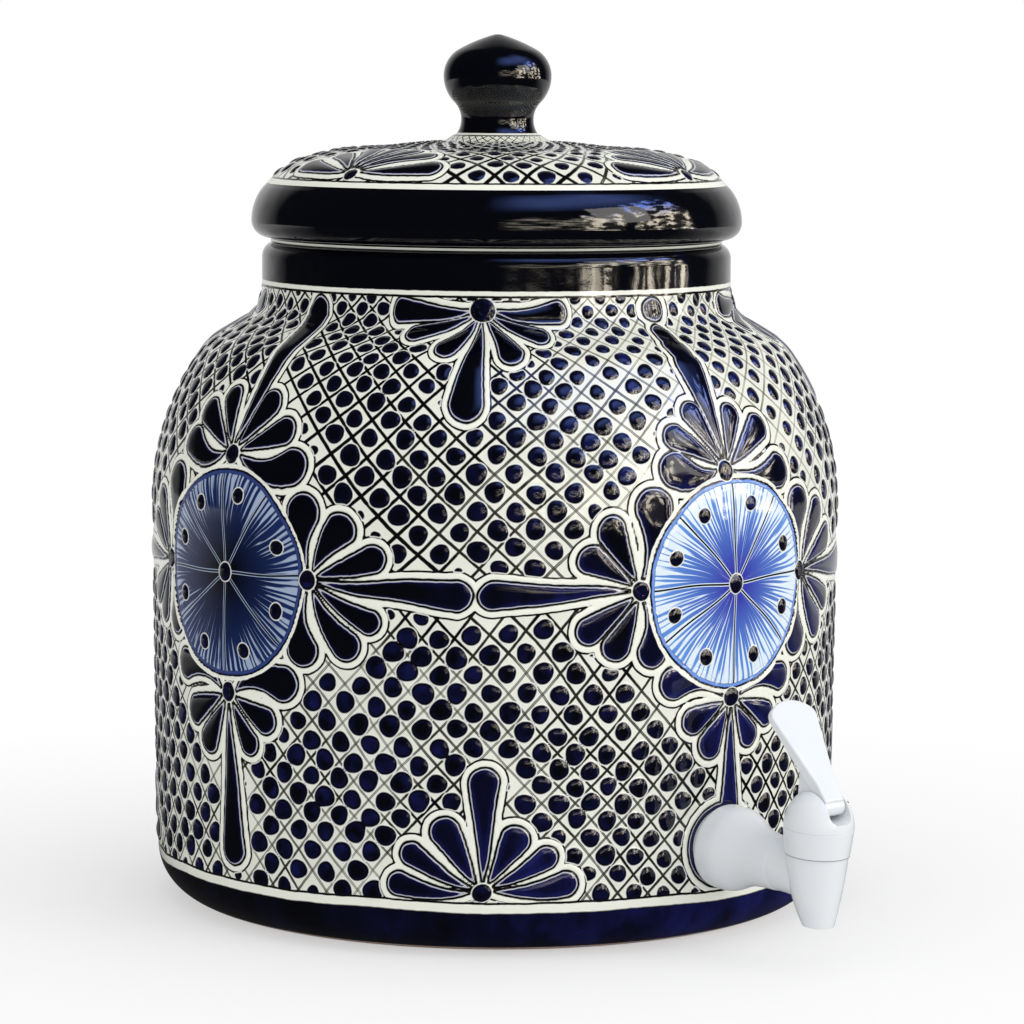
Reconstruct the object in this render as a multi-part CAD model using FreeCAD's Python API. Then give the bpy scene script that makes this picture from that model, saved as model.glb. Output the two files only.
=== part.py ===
"""Glazed clay water pot with a lift-off lid and a push-lever tap.

All sizes are millimetres. The origin is the centre of the foot on the pot's axis, +Z is up and
the tap points along -Y. The pot and lid are turned forms, so each is one outline revolved about
the Z axis. The tap is built in its own frame, with the valve axis on Z, the bore axis on Y and
the lever in front, and is then set on the wall of the pot.
"""
import FreeCAD
import Part
import math
import os

from FreeCAD import Vector

# ---- pot: driving sizes -------------------------------------------------------------------
BELLY_RADIUS = 155.6        # widest point of the body
BELLY_HEIGHT = 180.0        # height of the widest point
SIDE_TAPER = 0.63           # degrees that the side wall opens out from the foot to the belly
BASE_EDGE_RADIUS = 23.0     # rounded edge between foot and side wall
WALL = 9.5                  # fired clay thickness of the side and shoulder
FLOOR = 11.0                # thickness of the bottom
FLOOR_CORNER = 14.0         # inside radius between floor and side
FOOT_WIDTH = 15.0           # glaze-free ring that the pot stands on
FOOT_RECESS = 3.0           # hollow turned inside the foot ring
SHOULDER_RADIUS = 117.0     # long arc of the shoulder
SHOULDER_TURN = 35.5        # degrees turned by the long arc
BREAK_RADIUS = 28.0         # tighter arc at the top of the shoulder
SLOPE_ANGLE = 59.0          # degrees between the slope under the collar and upright
NECK_FILLET = 12.0          # hollow where the slope meets the collar
COLLAR_RADIUS = 106.3       # outside of the upright collar
COLLAR_HEIGHT = 23.5        # from the top of the neck hollow to the rim
RIM_ROUND_OUT = 7.0         # rounding of the rim, outside
RIM_CHAMFER = 1.2           # bevel of the rim, inside

# ---- lid ----------------------------------------------------------------------------------
LID_WALL = 8.5              # clay thickness of the lid
LID_SEAT_DROP = 1.8         # the seat stands this far below the band's underside
LID_SEAT_WIDTH = 3.0        # how far the seat reaches outside the rim's flat
LID_CLEARANCE = 2.0         # radial play of the locating ring in the collar
LID_RING_DEPTH = 11.0       # how far the locating ring hangs into the collar
LID_RING_THICKNESS = 8.0
LID_BAND_OVERHANG = 4.8     # the rounded band stands out past the collar
LID_BAND_UNDER_ROUND = 7.5  # rounding under the band
LID_BAND_UPPER_RADIUS = 24.0
LID_BAND_HEIGHT = 22.5      # from the band's underside to the line over it
LID_LINE = 1.8              # sloping line between the band and the dome
LID_EDGE_RADIUS = 35.0      # shoulder of the dome
LID_EDGE_TURN = 36.0        # degrees turned by the dome's shoulder
LID_CROWN_RADIUS = 335.0    # shallow crown of the dome
LID_INNER_FLAT = 12.0       # radius of the flat in the middle of the lid's underside

# ---- knob ---------------------------------------------------------------------------------
KNOB_NECK_RADIUS = 16.4
KNOB_NECK_HEIGHT = 6.0      # above the crown of the lid
KNOB_HOLLOW_RADIUS = 11.0   # hollow round the neck
KNOB_FOOT_TURN = 45.0       # degrees that the hollow turns below the neck, into the lid
KNOB_RADIUS = 24.4
KNOB_WIDEST_HEIGHT = 25.6   # above the crown of the lid
KNOB_CAP_RADIUS = 13.8      # rounding above the widest point
KNOB_CAP_TURN = 60.5        # degrees turned by that rounding
KNOB_TIP_SLOPE = 16.0       # degrees that the surface falls away from the small round tip
KNOB_TIP_ROUND = 8.0        # radius of the round tip
KNOB_TIP_FLAT = 0.8         # radius of the tiny flat on top of it

# ---- tap: where it sits -------------------------------------------------------------------
TAP_HEIGHT = 43.5           # bore centre above the foot, at the outside of the wall
TAP_DROOP = 4.0             # degrees that the fitted tap hangs below level on its soft gaskets
HOLE_CLEARANCE = 1.6        # play of the shank in the hole through the wall
OUTER_GASKET = 1.6          # squeezed thickness on the tap's centre line
INNER_GASKET = 3.0
GASKET_RADIUS = 15.6
INNER_GASKET_RADIUS = 16.5
GASKET_PLAY = 0.5           # play of the shank in both gaskets

# ---- tap: body ----------------------------------------------------------------------------
SHANK_RADIUS = 9.4
SHANK_STUB = 6.0            # thread left standing past the nut
BORE_RADIUS = 5.8           # water way
BORE_EDGE = 0.8             # chamfer at the inner end of the water way
BELL_OUTLINE = [            # radius, distance from the back face of the flange
    (17.3, 0.0),
    (18.4, 4.8),
    (17.9, 10.4),
    (15.5, 16.0),
    (12.6, 24.5),
    (11.4, 37.0),
    (11.0, 46.0),
]
BELL_BACK_SLOPE = (1.0, -0.9)
HEAD_REACH = 57.0           # back face of the flange to the valve axis
HEAD_RADIUS = 13.4          # valve body at the seam under the bonnet
SEAM_HEIGHT = 9.2           # seam above the bore axis
SPOUT_LENGTH = 21.0         # spout tip below the bore axis
SPOUT_TIP_RADIUS = 6.8
SPOUT_WALL = 1.6
SPOUT_LEAN = 3.4            # the tip stands this far in front of the valve axis
SPOUT_FULLNESS = 1.1        # how far the side of the spout swells past a straight cone
COLLAR_THREAD_RADIUS = 12.1  # crest of the thread that carries the bonnet
COLLAR_THREAD_LENGTH = 6.8
CHAMBER_RADIUS = 10.1
CHAMBER_STRAIGHT = 2.0      # the chamber is straight down to this far below the bore axis
SEAT_SHELF_RADIUS = 8.6
SEAT_DEPTH = 8.0            # shelf round the seat, below the bore axis
SEAT_LIP_HEIGHT = 1.0
SEAT_LIP_WIDTH = 1.2

# ---- tap: bonnet --------------------------------------------------------------------------
THREAD_CLEARANCE = 0.15
BONNET_SKIRT_WALL = 1.55    # round the thread, at the seam
BONNET_RADIUS = 15.0
BONNET_RING_HEIGHT = 20.6   # fine groove between skirt and dome
BONNET_GROOVE = 0.25
DOME_HEIGHT = 17.0          # dome above the groove
SLOT_WIDTH = 12.0           # slot that the lever stands in
SLOT_FLOOR = 24.6
SLOT_ROUND = 3.6            # rounding of the two lower corners of the slot
SLOT_BACK = 3.0             # level part of the slot's floor ends this far behind the axis
SLOT_BACK_ANGLE = 38.0      # rise of the floor behind it
PARTITION = 3.1             # floor of the slot above the spring recess
SPRING_RECESS_RADIUS = 8.6
BONNET_RELIEF = 0.45        # room between the bonnet's skirt and the crown of the neck

# ---- tap: lever and pins ------------------------------------------------------------------
LEVER_TRAVEL = 44.0         # degrees pulled forward to full flow
LINK_ARM = 6.0              # pivot pin to link pin
HUB_CLEARANCE = 2.1         # hub of the lever above the slot's floor
PIVOT_RADIUS = 1.5
LINK_RADIUS = 1.0
PIN_PLAY = 0.08             # running clearance of a pin, on the radius
PIN_PRESS = 0.02            # clearance of a pin where it is held
PIN_END_PLAY = 0.4
HUB_RADIUS = 3.7
LINK_BOSS_RADIUS = 2.5
LEVER_PLAY = 0.6            # hub and web to each cheek of the slot
FORK_PLAY = 1.5             # fork to each cheek, between the rounded corners of the slot
LEVER_LEAN = 41.0           # degrees that the closed lever leans back
PADDLE_OFFSET = 4.6         # front of the paddle in front of the pivot
PADDLE_START = 0.4          # lower edge of the paddle, along its length from the pivot
PADDLE_LENGTH = 49.4        # from the pivot to the tip
PADDLE_NECK = 8.5           # sides are parallel up to here, between the slot's cheeks
PADDLE_FLARE = 12.6         # degrees that each side opens out from there towards the tip
PADDLE_TIP_RADIUS = 17.0    # curve of the tip
PADDLE_CORNER_RADIUS = 5.0  # between the tip and the sides
PADDLE_TIP_THICKNESS = 2.4
PADDLE_ROOT_THICKNESS = 4.6
PADDLE_ROOT_END = 14.0      # full thickness up to here
PADDLE_EDGE_ROUND = 0.8
WEB_BACK = 8.0              # back edge of the web behind the valve axis
WEB_FOOT = 2.8              # lower end of the back edge, above the pivot
WEB_TOP = 13.0              # upper end of the back edge, above the pivot
WEB_REACH = 20.0            # the web meets the paddle this far from the pivot
PIN_COVER = 1.8             # plastic left over the blind end of the pivot pin
PIN_SINK = 0.8              # the other end stands this far inside the bonnet's side

# ---- tap: stem, spring and seat cup -------------------------------------------------------
STEM_WIDTH = 5.2            # blade, front to back
STEM_THICKNESS = 4.0        # blade, side to side
STEM_PLAY = 0.12            # blade in its guide slot
TONGUE_PLAY = 0.35          # blade in the lever's fork
STEM_FLANGE_EDGE = 0.5      # flange outside the spring
STEM_FLANGE = 1.5
STEM_BUTTON_RADIUS = 3.2
STEM_BUTTON_NECK = 2.0      # radius of the neck above the button
STEM_BUTTON_DROP = 1.0      # length of that neck
STEM_BUTTON = 1.2           # thickness of the button
CUP_SOLE_PLAY = 1.2         # sealing sole inside the shelf round the seat
CUP_SOLE = 4.0              # thickness of the sealing sole
CUP_WALL = 1.2
CUP_RIM = 1.2               # rim gripped between body and bonnet
CUP_TOP_PLAY = 0.7          # cup inside the chamber
WIRE_RADIUS = 0.45
SPRING_RADIUS = 4.25        # centre of the wire
SPRING_TURNS = 6
WIRE_SIDES = 8              # the wire's section is a fine polygon
SPRING_SEAT_PLAY = 0.2

# ---- tap: nut and washer ------------------------------------------------------------------
WASHER = 1.6
WASHER_RADIUS = 15.8
NUT_FLATS = 27.0
NUT_THICKNESS = 9.0
NUT_FLANGE_RADIUS = 15.0
NUT_FLANGE = 2.2
NUT_CHAMFER = 1.2


# ---- outline helpers ----------------------------------------------------------------------
def on_circle(centre, radius, degrees):
    """Point (r, z) on a circle; 0 degrees points away from the axis and 90 degrees up."""
    angle = math.radians(degrees)
    return (centre[0] + radius * math.cos(angle), centre[1] + radius * math.sin(angle))


def in_section(point):
    """Section point (r, z) as a point of the XZ half-plane."""
    return Vector(point[0], 0, point[1])


def line(a, b):
    return Part.LineSegment(in_section(a), in_section(b)).toShape()


def arc(centre, radius, start, end):
    """Circular arc of the section from one angle to another, either way round."""
    points = [in_section(on_circle(centre, radius, d)) for d in (start, (start + end) / 2, end)]
    return Part.Arc(*points).toShape()


def curve(points, start_slope, end_slope):
    """Smooth curve through section points, with given directions at its ends."""
    spline = Part.BSplineCurve()
    spline.interpolate(
        [in_section(p) for p in points],
        InitialTangent=in_section(start_slope),
        FinalTangent=in_section(end_slope),
    )
    return spline.toShape()


def turned(edges):
    """Solid of revolution about Z of a closed outline in the XZ half-plane."""
    face = Part.Face(Part.Wire(Part.__sortEdges__(edges)))
    return face.revolve(Vector(0, 0, 0), Vector(0, 0, 1), 360)


def turned_points(points):
    """Solid of revolution about Z of a straight-sided outline."""
    closed = points + points[:1]
    return turned([line(a, b) for a, b in zip(closed, closed[1:])])


def cylinder(radius, low, high):
    """Cylinder on the Z axis between two heights."""
    return Part.makeCylinder(radius, high - low, Vector(0, 0, low))


def along_bore(shape):
    """Turn a shape built on Z so that its Z axis runs along +Y, from the head to the pot."""
    turned_shape = shape.copy()
    turned_shape.rotate(Vector(0, 0, 0), Vector(1, 0, 0), -90)
    return turned_shape


def one_solid(shape):
    """The single solid of a cleaned-up result."""
    return shape.removeSplitter().Solids[0]


# ---- pot ----------------------------------------------------------------------------------
BREAK_TURN = SLOPE_ANGLE - SHOULDER_TURN
SHOULDER_CENTRE = (BELLY_RADIUS - SHOULDER_RADIUS, BELLY_HEIGHT)
SHOULDER_END = on_circle(SHOULDER_CENTRE, SHOULDER_RADIUS, SHOULDER_TURN)
BREAK_CENTRE = on_circle(SHOULDER_END, -BREAK_RADIUS, SHOULDER_TURN)
BREAK_END = on_circle(BREAK_CENTRE, BREAK_RADIUS, SLOPE_ANGLE)
SLOPE_END_RADIUS = COLLAR_RADIUS + NECK_FILLET * (1 - math.cos(math.radians(SLOPE_ANGLE)))
SLOPE_RISE = (BREAK_END[0] - SLOPE_END_RADIUS) / math.tan(math.radians(SLOPE_ANGLE))
NECK_HEIGHT = BREAK_END[1] + SLOPE_RISE + NECK_FILLET * math.sin(math.radians(SLOPE_ANGLE))
NECK_CENTRE = (COLLAR_RADIUS + NECK_FILLET, NECK_HEIGHT)
RIM_HEIGHT = NECK_HEIGHT + COLLAR_HEIGHT
COLLAR_BORE = COLLAR_RADIUS - WALL


def wall_radius(height, inset=0.0):
    """Radius of the side wall at a height below the belly, inset from the outside."""
    top = on_circle(SHOULDER_CENTRE, SHOULDER_RADIUS - inset, -SIDE_TAPER)
    return top[0] - (top[1] - height) * math.tan(math.radians(SIDE_TAPER))


def corner_arc(low, radius, inset=0.0):
    """Arc from a level bottom at a height into the side wall, with its centre and upper end."""
    height = low + radius * (1 - math.sin(math.radians(SIDE_TAPER)))
    end = (wall_radius(height, inset), height)
    centre = (end[0] - radius * math.cos(math.radians(SIDE_TAPER)), low + radius)
    return arc(centre, radius, -90, -SIDE_TAPER), centre, end


def side_outline(inset, foot, top):
    """Side, shoulder, neck and collar, inset from the outside, from a point up to a height."""
    wall_top = on_circle(SHOULDER_CENTRE, SHOULDER_RADIUS - inset, -SIDE_TAPER)
    slope_start = on_circle(BREAK_CENTRE, BREAK_RADIUS - inset, SLOPE_ANGLE)
    slope_end = on_circle(NECK_CENTRE, -NECK_FILLET - inset, SLOPE_ANGLE)
    collar = COLLAR_RADIUS - inset
    return [
        line(foot, wall_top),
        arc(SHOULDER_CENTRE, SHOULDER_RADIUS - inset, -SIDE_TAPER, SHOULDER_TURN),
        arc(BREAK_CENTRE, BREAK_RADIUS - inset, SHOULDER_TURN, SLOPE_ANGLE),
        line(slope_start, slope_end),
        arc(NECK_CENTRE, -NECK_FILLET - inset, SLOPE_ANGLE, 0),
        line((collar, NECK_HEIGHT), (collar, top)),
    ]


def pot_outside():
    """Everything inside the outer skin of the pot, as one solid."""
    base_edge, edge_centre, edge_end = corner_arc(0, BASE_EDGE_RADIUS)
    round_centre = (COLLAR_RADIUS - RIM_ROUND_OUT, RIM_HEIGHT - RIM_ROUND_OUT)
    return turned(side_outline(0.0, edge_end, round_centre[1]) + [
        line((0, 0), (edge_centre[0], 0)),
        base_edge,
        arc(round_centre, RIM_ROUND_OUT, 0, 90),
        line((round_centre[0], RIM_HEIGHT), (0, RIM_HEIGHT)),
        line((0, RIM_HEIGHT), (0, 0)),
    ])


def pot_hollow():
    """The space inside the pot, up to the rim."""
    floor_corner, corner_centre, corner_end = corner_arc(FLOOR, FLOOR_CORNER, WALL)
    bevel_foot = (COLLAR_BORE, RIM_HEIGHT - RIM_CHAMFER)
    lip = (COLLAR_BORE + RIM_CHAMFER, RIM_HEIGHT)
    return turned(side_outline(WALL, corner_end, bevel_foot[1]) + [
        line((0, FLOOR), (corner_centre[0], FLOOR)),
        floor_corner,
        line(bevel_foot, lip),
        line(lip, (0, RIM_HEIGHT)),
        line((0, RIM_HEIGHT), (0, FLOOR)),
    ])


def pot_body(outside, hollow):
    foot_inner = corner_arc(0, BASE_EDGE_RADIUS)[1][0] - FOOT_WIDTH
    recess = turned_points([
        (0, -1), (foot_inner + 1, -1), (foot_inner - FOOT_RECESS, FOOT_RECESS), (0, FOOT_RECESS),
    ])
    hole = Part.makeCylinder(
        HOLE_RADIUS, BELLY_RADIUS, Vector(0, 0, TAP_HEIGHT), Vector(0, -1, 0)
    )
    return one_solid(outside.cut(hollow).cut(recess).cut(hole))


# ---- lid ----------------------------------------------------------------------------------
LID_UNDER = RIM_HEIGHT + LID_SEAT_DROP
BAND_RADIUS = COLLAR_RADIUS + LID_BAND_OVERHANG
BAND_WIDEST = LID_UNDER + LID_BAND_UNDER_ROUND
BAND_CENTRE = (BAND_RADIUS - LID_BAND_UPPER_RADIUS, BAND_WIDEST)
BAND_TURN = math.degrees(math.asin(
    (LID_BAND_HEIGHT - LID_BAND_UNDER_ROUND) / LID_BAND_UPPER_RADIUS
))
BAND_TOP = on_circle(BAND_CENTRE, LID_BAND_UPPER_RADIUS, BAND_TURN)
DOME_FOOT = (BAND_TOP[0] - LID_LINE, BAND_TOP[1] + LID_LINE)


def dome_centres():
    """Centres of the crown and of its shoulder, and the angle at which the two arcs meet.

    The shoulder arc is tangent to the crown inside it and ends at the dome's foot, after its
    full turn, so the meeting angle from upright solves
    (crown - edge) * sin(a) + edge * sin(a + turn) = foot radius.
    """
    turn = math.radians(LID_EDGE_TURN)
    along = LID_CROWN_RADIUS - LID_EDGE_RADIUS + LID_EDGE_RADIUS * math.cos(turn)
    across = LID_EDGE_RADIUS * math.sin(turn)
    meet = math.asin(DOME_FOOT[0] / math.hypot(along, across)) - math.atan2(across, along)
    edge_height = DOME_FOOT[1] - LID_EDGE_RADIUS * math.cos(meet + turn)
    inner = LID_CROWN_RADIUS - LID_EDGE_RADIUS
    edge_centre = (inner * math.sin(meet), edge_height)
    crown_centre = (0, edge_height - inner * math.cos(meet))
    return crown_centre, edge_centre, math.degrees(meet)


CROWN_CENTRE, EDGE_CENTRE, DOME_MEET = dome_centres()
CROWN_HEIGHT = CROWN_CENTRE[1] + LID_CROWN_RADIUS


def knob():
    """Onion-shaped knob: hollow neck, bulb and a blunt tip, its foot sunk into the crown.

    The bulb's lower arc is tangent to the hollow and upright at the widest point, so
    (hollow + bulb) * (1 - cos(t)) is the growth in radius and (hollow + bulb) * sin(t) the rise.
    """
    grow = KNOB_RADIUS - KNOB_NECK_RADIUS
    rise = KNOB_WIDEST_HEIGHT - KNOB_NECK_HEIGHT
    turn = 2 * math.degrees(math.atan2(grow, rise))
    bulb_radius = rise / math.sin(math.radians(turn)) - KNOB_HOLLOW_RADIUS
    neck_height = CROWN_HEIGHT + KNOB_NECK_HEIGHT
    widest = CROWN_HEIGHT + KNOB_WIDEST_HEIGHT
    hollow_centre = (KNOB_NECK_RADIUS + KNOB_HOLLOW_RADIUS, neck_height)
    bulb_centre = (KNOB_RADIUS - bulb_radius, widest)
    cap_centre = (KNOB_RADIUS - KNOB_CAP_RADIUS, widest)
    cap_end = on_circle(cap_centre, KNOB_CAP_RADIUS, KNOB_CAP_TURN)
    point_angle = 90 - KNOB_TIP_SLOPE
    run = cap_end[0] - KNOB_TIP_ROUND * math.cos(math.radians(point_angle))
    across = math.cos(math.radians(KNOB_CAP_TURN)) - math.cos(math.radians(point_angle))
    point_radius = run / across
    point_centre = on_circle(cap_end, -point_radius, KNOB_CAP_TURN)
    point_end = on_circle(point_centre, point_radius, point_angle)
    tip_centre = on_circle(point_end, -KNOB_TIP_ROUND, point_angle)
    flat_angle = math.degrees(math.acos(KNOB_TIP_FLAT / KNOB_TIP_ROUND))
    flat_edge = on_circle(tip_centre, KNOB_TIP_ROUND, flat_angle)
    foot = on_circle(hollow_centre, KNOB_HOLLOW_RADIUS, 180 + KNOB_FOOT_TURN)
    return turned([
        arc(hollow_centre, KNOB_HOLLOW_RADIUS, 180 + KNOB_FOOT_TURN, 180 - turn),
        arc(bulb_centre, bulb_radius, -turn, 0),
        arc(cap_centre, KNOB_CAP_RADIUS, 0, KNOB_CAP_TURN),
        arc(point_centre, point_radius, KNOB_CAP_TURN, point_angle),
        arc(tip_centre, KNOB_TIP_ROUND, point_angle, flat_angle),
        line(flat_edge, (0, flat_edge[1])),
        line((0, flat_edge[1]), (0, foot[1])),
        line((0, foot[1]), foot),
    ])


def lid():
    """Dome, rounded band, seat, locating ring and knob, fired as one piece."""
    seat_radius = COLLAR_RADIUS - RIM_ROUND_OUT + LID_SEAT_WIDTH
    ring_radius = COLLAR_BORE - LID_CLEARANCE
    ring_bore = ring_radius - LID_RING_THICKNESS
    ring_foot = RIM_HEIGHT - LID_RING_DEPTH
    under_centre = (BAND_RADIUS - LID_BAND_UNDER_ROUND, BAND_WIDEST)
    inner_edge = LID_EDGE_RADIUS - LID_WALL
    inner_angle = math.degrees(math.acos((ring_bore - EDGE_CENTRE[0]) / inner_edge))
    inner_foot = on_circle(EDGE_CENTRE, inner_edge, inner_angle)
    dome_meet = 90 - DOME_MEET
    inner_crown = LID_CROWN_RADIUS - LID_WALL
    flat_angle = math.degrees(math.acos(LID_INNER_FLAT / inner_crown))
    flat_edge = on_circle(CROWN_CENTRE, inner_crown, flat_angle)
    dome = turned([
        arc(CROWN_CENTRE, LID_CROWN_RADIUS, 90, dome_meet),
        arc(EDGE_CENTRE, LID_EDGE_RADIUS, dome_meet, dome_meet - LID_EDGE_TURN),
        line(DOME_FOOT, BAND_TOP),
        arc(BAND_CENTRE, LID_BAND_UPPER_RADIUS, BAND_TURN, 0),
        arc(under_centre, LID_BAND_UNDER_ROUND, 0, -90),
        line((under_centre[0], LID_UNDER), (seat_radius, LID_UNDER)),
        line((seat_radius, LID_UNDER), (seat_radius, RIM_HEIGHT)),
        line((seat_radius, RIM_HEIGHT), (ring_radius, RIM_HEIGHT)),
        line((ring_radius, RIM_HEIGHT), (ring_radius, ring_foot)),
        line((ring_radius, ring_foot), (ring_bore, ring_foot)),
        line((ring_bore, ring_foot), inner_foot),
        arc(EDGE_CENTRE, inner_edge, inner_angle, dome_meet),
        arc(CROWN_CENTRE, inner_crown, dome_meet, flat_angle),
        line(flat_edge, (0, flat_edge[1])),
        line((0, flat_edge[1]), (0, CROWN_HEIGHT)),
    ])
    return one_solid(dome.fuse(knob()))


# ---- tap: shared places in the tap's own frame ----------------------------------------------
HOLE_RADIUS = SHANK_RADIUS + HOLE_CLEARANCE
GASKET_BORE = SHANK_RADIUS + GASKET_PLAY
BONNET_SKIRT_RADIUS = COLLAR_THREAD_RADIUS + THREAD_CLEARANCE + BONNET_SKIRT_WALL
LEVER_WIDTH = SLOT_WIDTH - 2 * LEVER_PLAY
FORK_WIDTH = SLOT_WIDTH - 2 * FORK_PLAY
PIVOT_HEIGHT = SLOT_FLOOR + HUB_RADIUS + HUB_CLEARANCE
STEM_FLANGE_RADIUS = SPRING_RADIUS + WIRE_RADIUS + STEM_FLANGE_EDGE
CUP_SOLE_RADIUS = SEAT_SHELF_RADIUS - CUP_SOLE_PLAY
CUP_TOP_RADIUS = CHAMBER_RADIUS - CUP_TOP_PLAY
COLLAR_TOP = SEAM_HEIGHT + COLLAR_THREAD_LENGTH
CUP_LEDGE = COLLAR_TOP + CUP_RIM
SEAT_TOP = SEAT_LIP_HEIGHT - SEAT_DEPTH
SPOUT_BORE = SPOUT_TIP_RADIUS - SPOUT_WALL
STEM_FOOT = SEAT_TOP + CUP_SOLE
STEM_FLANGE_TOP = STEM_FOOT + STEM_FLANGE
SPRING_CEILING = SLOT_FLOOR - PARTITION
PIVOT_FORWARD = LINK_ARM * math.cos(math.radians(LEVER_TRAVEL / 2))
LINK_HEIGHT = PIVOT_HEIGHT - LINK_ARM * math.sin(math.radians(LEVER_TRAVEL / 2))
LINK_SWING = LINK_ARM - PIVOT_FORWARD
STEM_STROKE = 2 * (PIVOT_HEIGHT - LINK_HEIGHT)
DOME_BASE = BONNET_RING_HEIGHT + BONNET_GROOVE


def flange_place():
    """Centre of the flange's back face on the fitted tap."""
    return Vector(0, -wall_radius(TAP_HEIGHT) - OUTER_GASKET, TAP_HEIGHT)


def fitted(shape):
    """Set a shape of the tap's own frame on the wall of the pot."""
    turn = FreeCAD.Rotation(Vector(1, 0, 0), TAP_DROOP)
    move = flange_place() - turn.multVec(Vector(0, HEAD_REACH, 0))
    placed = shape.copy()
    placed.transformShape(FreeCAD.Placement(move, turn).toMatrix())
    return placed


def disc(radius, height, forward):
    """Level circle in front of the valve axis, as a wire."""
    circle = Part.Circle(Vector(0, -forward, height), Vector(0, 0, 1), radius)
    return Part.Wire(circle.toShape())


def side_prism(points, width):
    """Straight-sided plate in the plane of the lever; points are (forward, height)."""
    corners = [Vector(-width / 2, -p[0], p[1]) for p in points]
    face = Part.Face(Part.makePolygon(corners + corners[:1]))
    return face.extrude(Vector(width, 0, 0))


def cross_pin(radius, forward, height, left, right):
    """Cylinder across the tap between two side positions."""
    return Part.makeCylinder(radius, right - left, Vector(left, -forward, height), Vector(1, 0, 0))


def blade(height_low, height_high, play=0.0):
    """Flat blade of the valve stem, with a play all round its sides."""
    deep = STEM_WIDTH + 2 * play
    thick = STEM_THICKNESS + 2 * play
    corner = Vector(-thick / 2, -deep / 2, height_low)
    return Part.makeBox(thick, deep, height_high - height_low, corner)


# ---- tap: body ------------------------------------------------------------------------------
def neck_and_shank():
    """Flange with its bell-shaped neck and the threaded shank, turned about the bore."""
    shank_end = HEAD_REACH + OUTER_GASKET + WALL + INNER_GASKET + WASHER + NUT_THICKNESS
    shank_end += SHANK_STUB
    bell = [(r, HEAD_REACH - d) for r, d in BELL_OUTLINE]
    edges = [
        line((0, 0), (bell[-1][0], 0)),
        line((bell[-1][0], 0), bell[-1]),
        curve(bell, BELL_BACK_SLOPE, (0, -1)),
        line(bell[0], (SHANK_RADIUS, HEAD_REACH)),
        line((SHANK_RADIUS, HEAD_REACH), (SHANK_RADIUS, shank_end - BORE_EDGE)),
        line((SHANK_RADIUS, shank_end - BORE_EDGE), (SHANK_RADIUS - BORE_EDGE, shank_end)),
        line((SHANK_RADIUS - BORE_EDGE, shank_end), (0, shank_end)),
        line((0, shank_end), (0, 0)),
    ]
    return along_bore(turned(edges)), shank_end


def spout_outside():
    """Valve body below the seam: a full cone that swings forward to the spout tip."""
    height = SEAM_HEIGHT + SPOUT_LENGTH
    rings = []
    for step in range(5):
        part = step / 4
        cone = HEAD_RADIUS + part * (SPOUT_TIP_RADIUS - HEAD_RADIUS)
        swell = 4 * SPOUT_FULLNESS * part * (1 - part)
        rings.append(disc(cone + swell, SEAM_HEIGHT - part * height, SPOUT_LEAN * part ** 2))
    return Part.makeLoft(rings, True, False)


def water_way(shank_end):
    """Bore, valve chamber with its raised seat, and the spout's outlet."""
    lip = SPOUT_BORE + SEAT_LIP_WIDTH
    bore = along_bore(cylinder(BORE_RADIUS, 0, shank_end + 1))
    chamber = turned_points([
        (0, COLLAR_TOP + 1), (CHAMBER_RADIUS, COLLAR_TOP + 1),
        (CHAMBER_RADIUS, -CHAMBER_STRAIGHT), (SEAT_SHELF_RADIUS, SEAT_TOP),
        (SEAT_SHELF_RADIUS, -SEAT_DEPTH), (lip, -SEAT_DEPTH), (lip, SEAT_TOP), (0, SEAT_TOP),
    ])
    past = 1.0
    lean = SPOUT_LEAN / (SPOUT_LENGTH + SEAT_TOP)
    outlet = Part.makeLoft([
        disc(SPOUT_BORE, SEAT_TOP + past, 0),
        disc(SPOUT_BORE, -SPOUT_LENGTH - past, SPOUT_LEAN + lean * past),
    ], True, True)
    return bore.fuse(chamber).fuse(outlet)


def tap_body():
    neck, shank_end = neck_and_shank()
    thread = cylinder(COLLAR_THREAD_RADIUS, 0, COLLAR_TOP)
    relief_radius = BONNET_SKIRT_RADIUS + BONNET_RELIEF
    relief = cylinder(relief_radius, SEAM_HEIGHT, COLLAR_TOP)
    relief = relief.cut(cylinder(COLLAR_THREAD_RADIUS, SEAM_HEIGHT, COLLAR_TOP))
    whole = neck.fuse(spout_outside()).cut(relief).fuse(thread)
    return one_solid(whole.cut(water_way(shank_end)))


# ---- tap: bonnet ----------------------------------------------------------------------------
def bonnet_outside():
    """Skirt, fine ring groove and egg-shaped dome."""
    dome = Part.Ellipse(
        Vector(0, 0, DOME_BASE + DOME_HEIGHT), Vector(BONNET_RADIUS, 0, DOME_BASE),
        Vector(0, 0, DOME_BASE),
    )
    skirt_top = BONNET_RING_HEIGHT - BONNET_GROOVE
    return turned([
        line((0, SEAM_HEIGHT), (BONNET_SKIRT_RADIUS, SEAM_HEIGHT)),
        line((BONNET_SKIRT_RADIUS, SEAM_HEIGHT), (BONNET_RADIUS, skirt_top)),
        line((BONNET_RADIUS, skirt_top), (BONNET_RADIUS - BONNET_GROOVE, BONNET_RING_HEIGHT)),
        line((BONNET_RADIUS - BONNET_GROOVE, BONNET_RING_HEIGHT), (BONNET_RADIUS, DOME_BASE)),
        Part.ArcOfEllipse(dome, 0, math.pi / 2).toShape(),
        line((0, DOME_BASE + DOME_HEIGHT), (0, SEAM_HEIGHT)),
    ])


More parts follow.
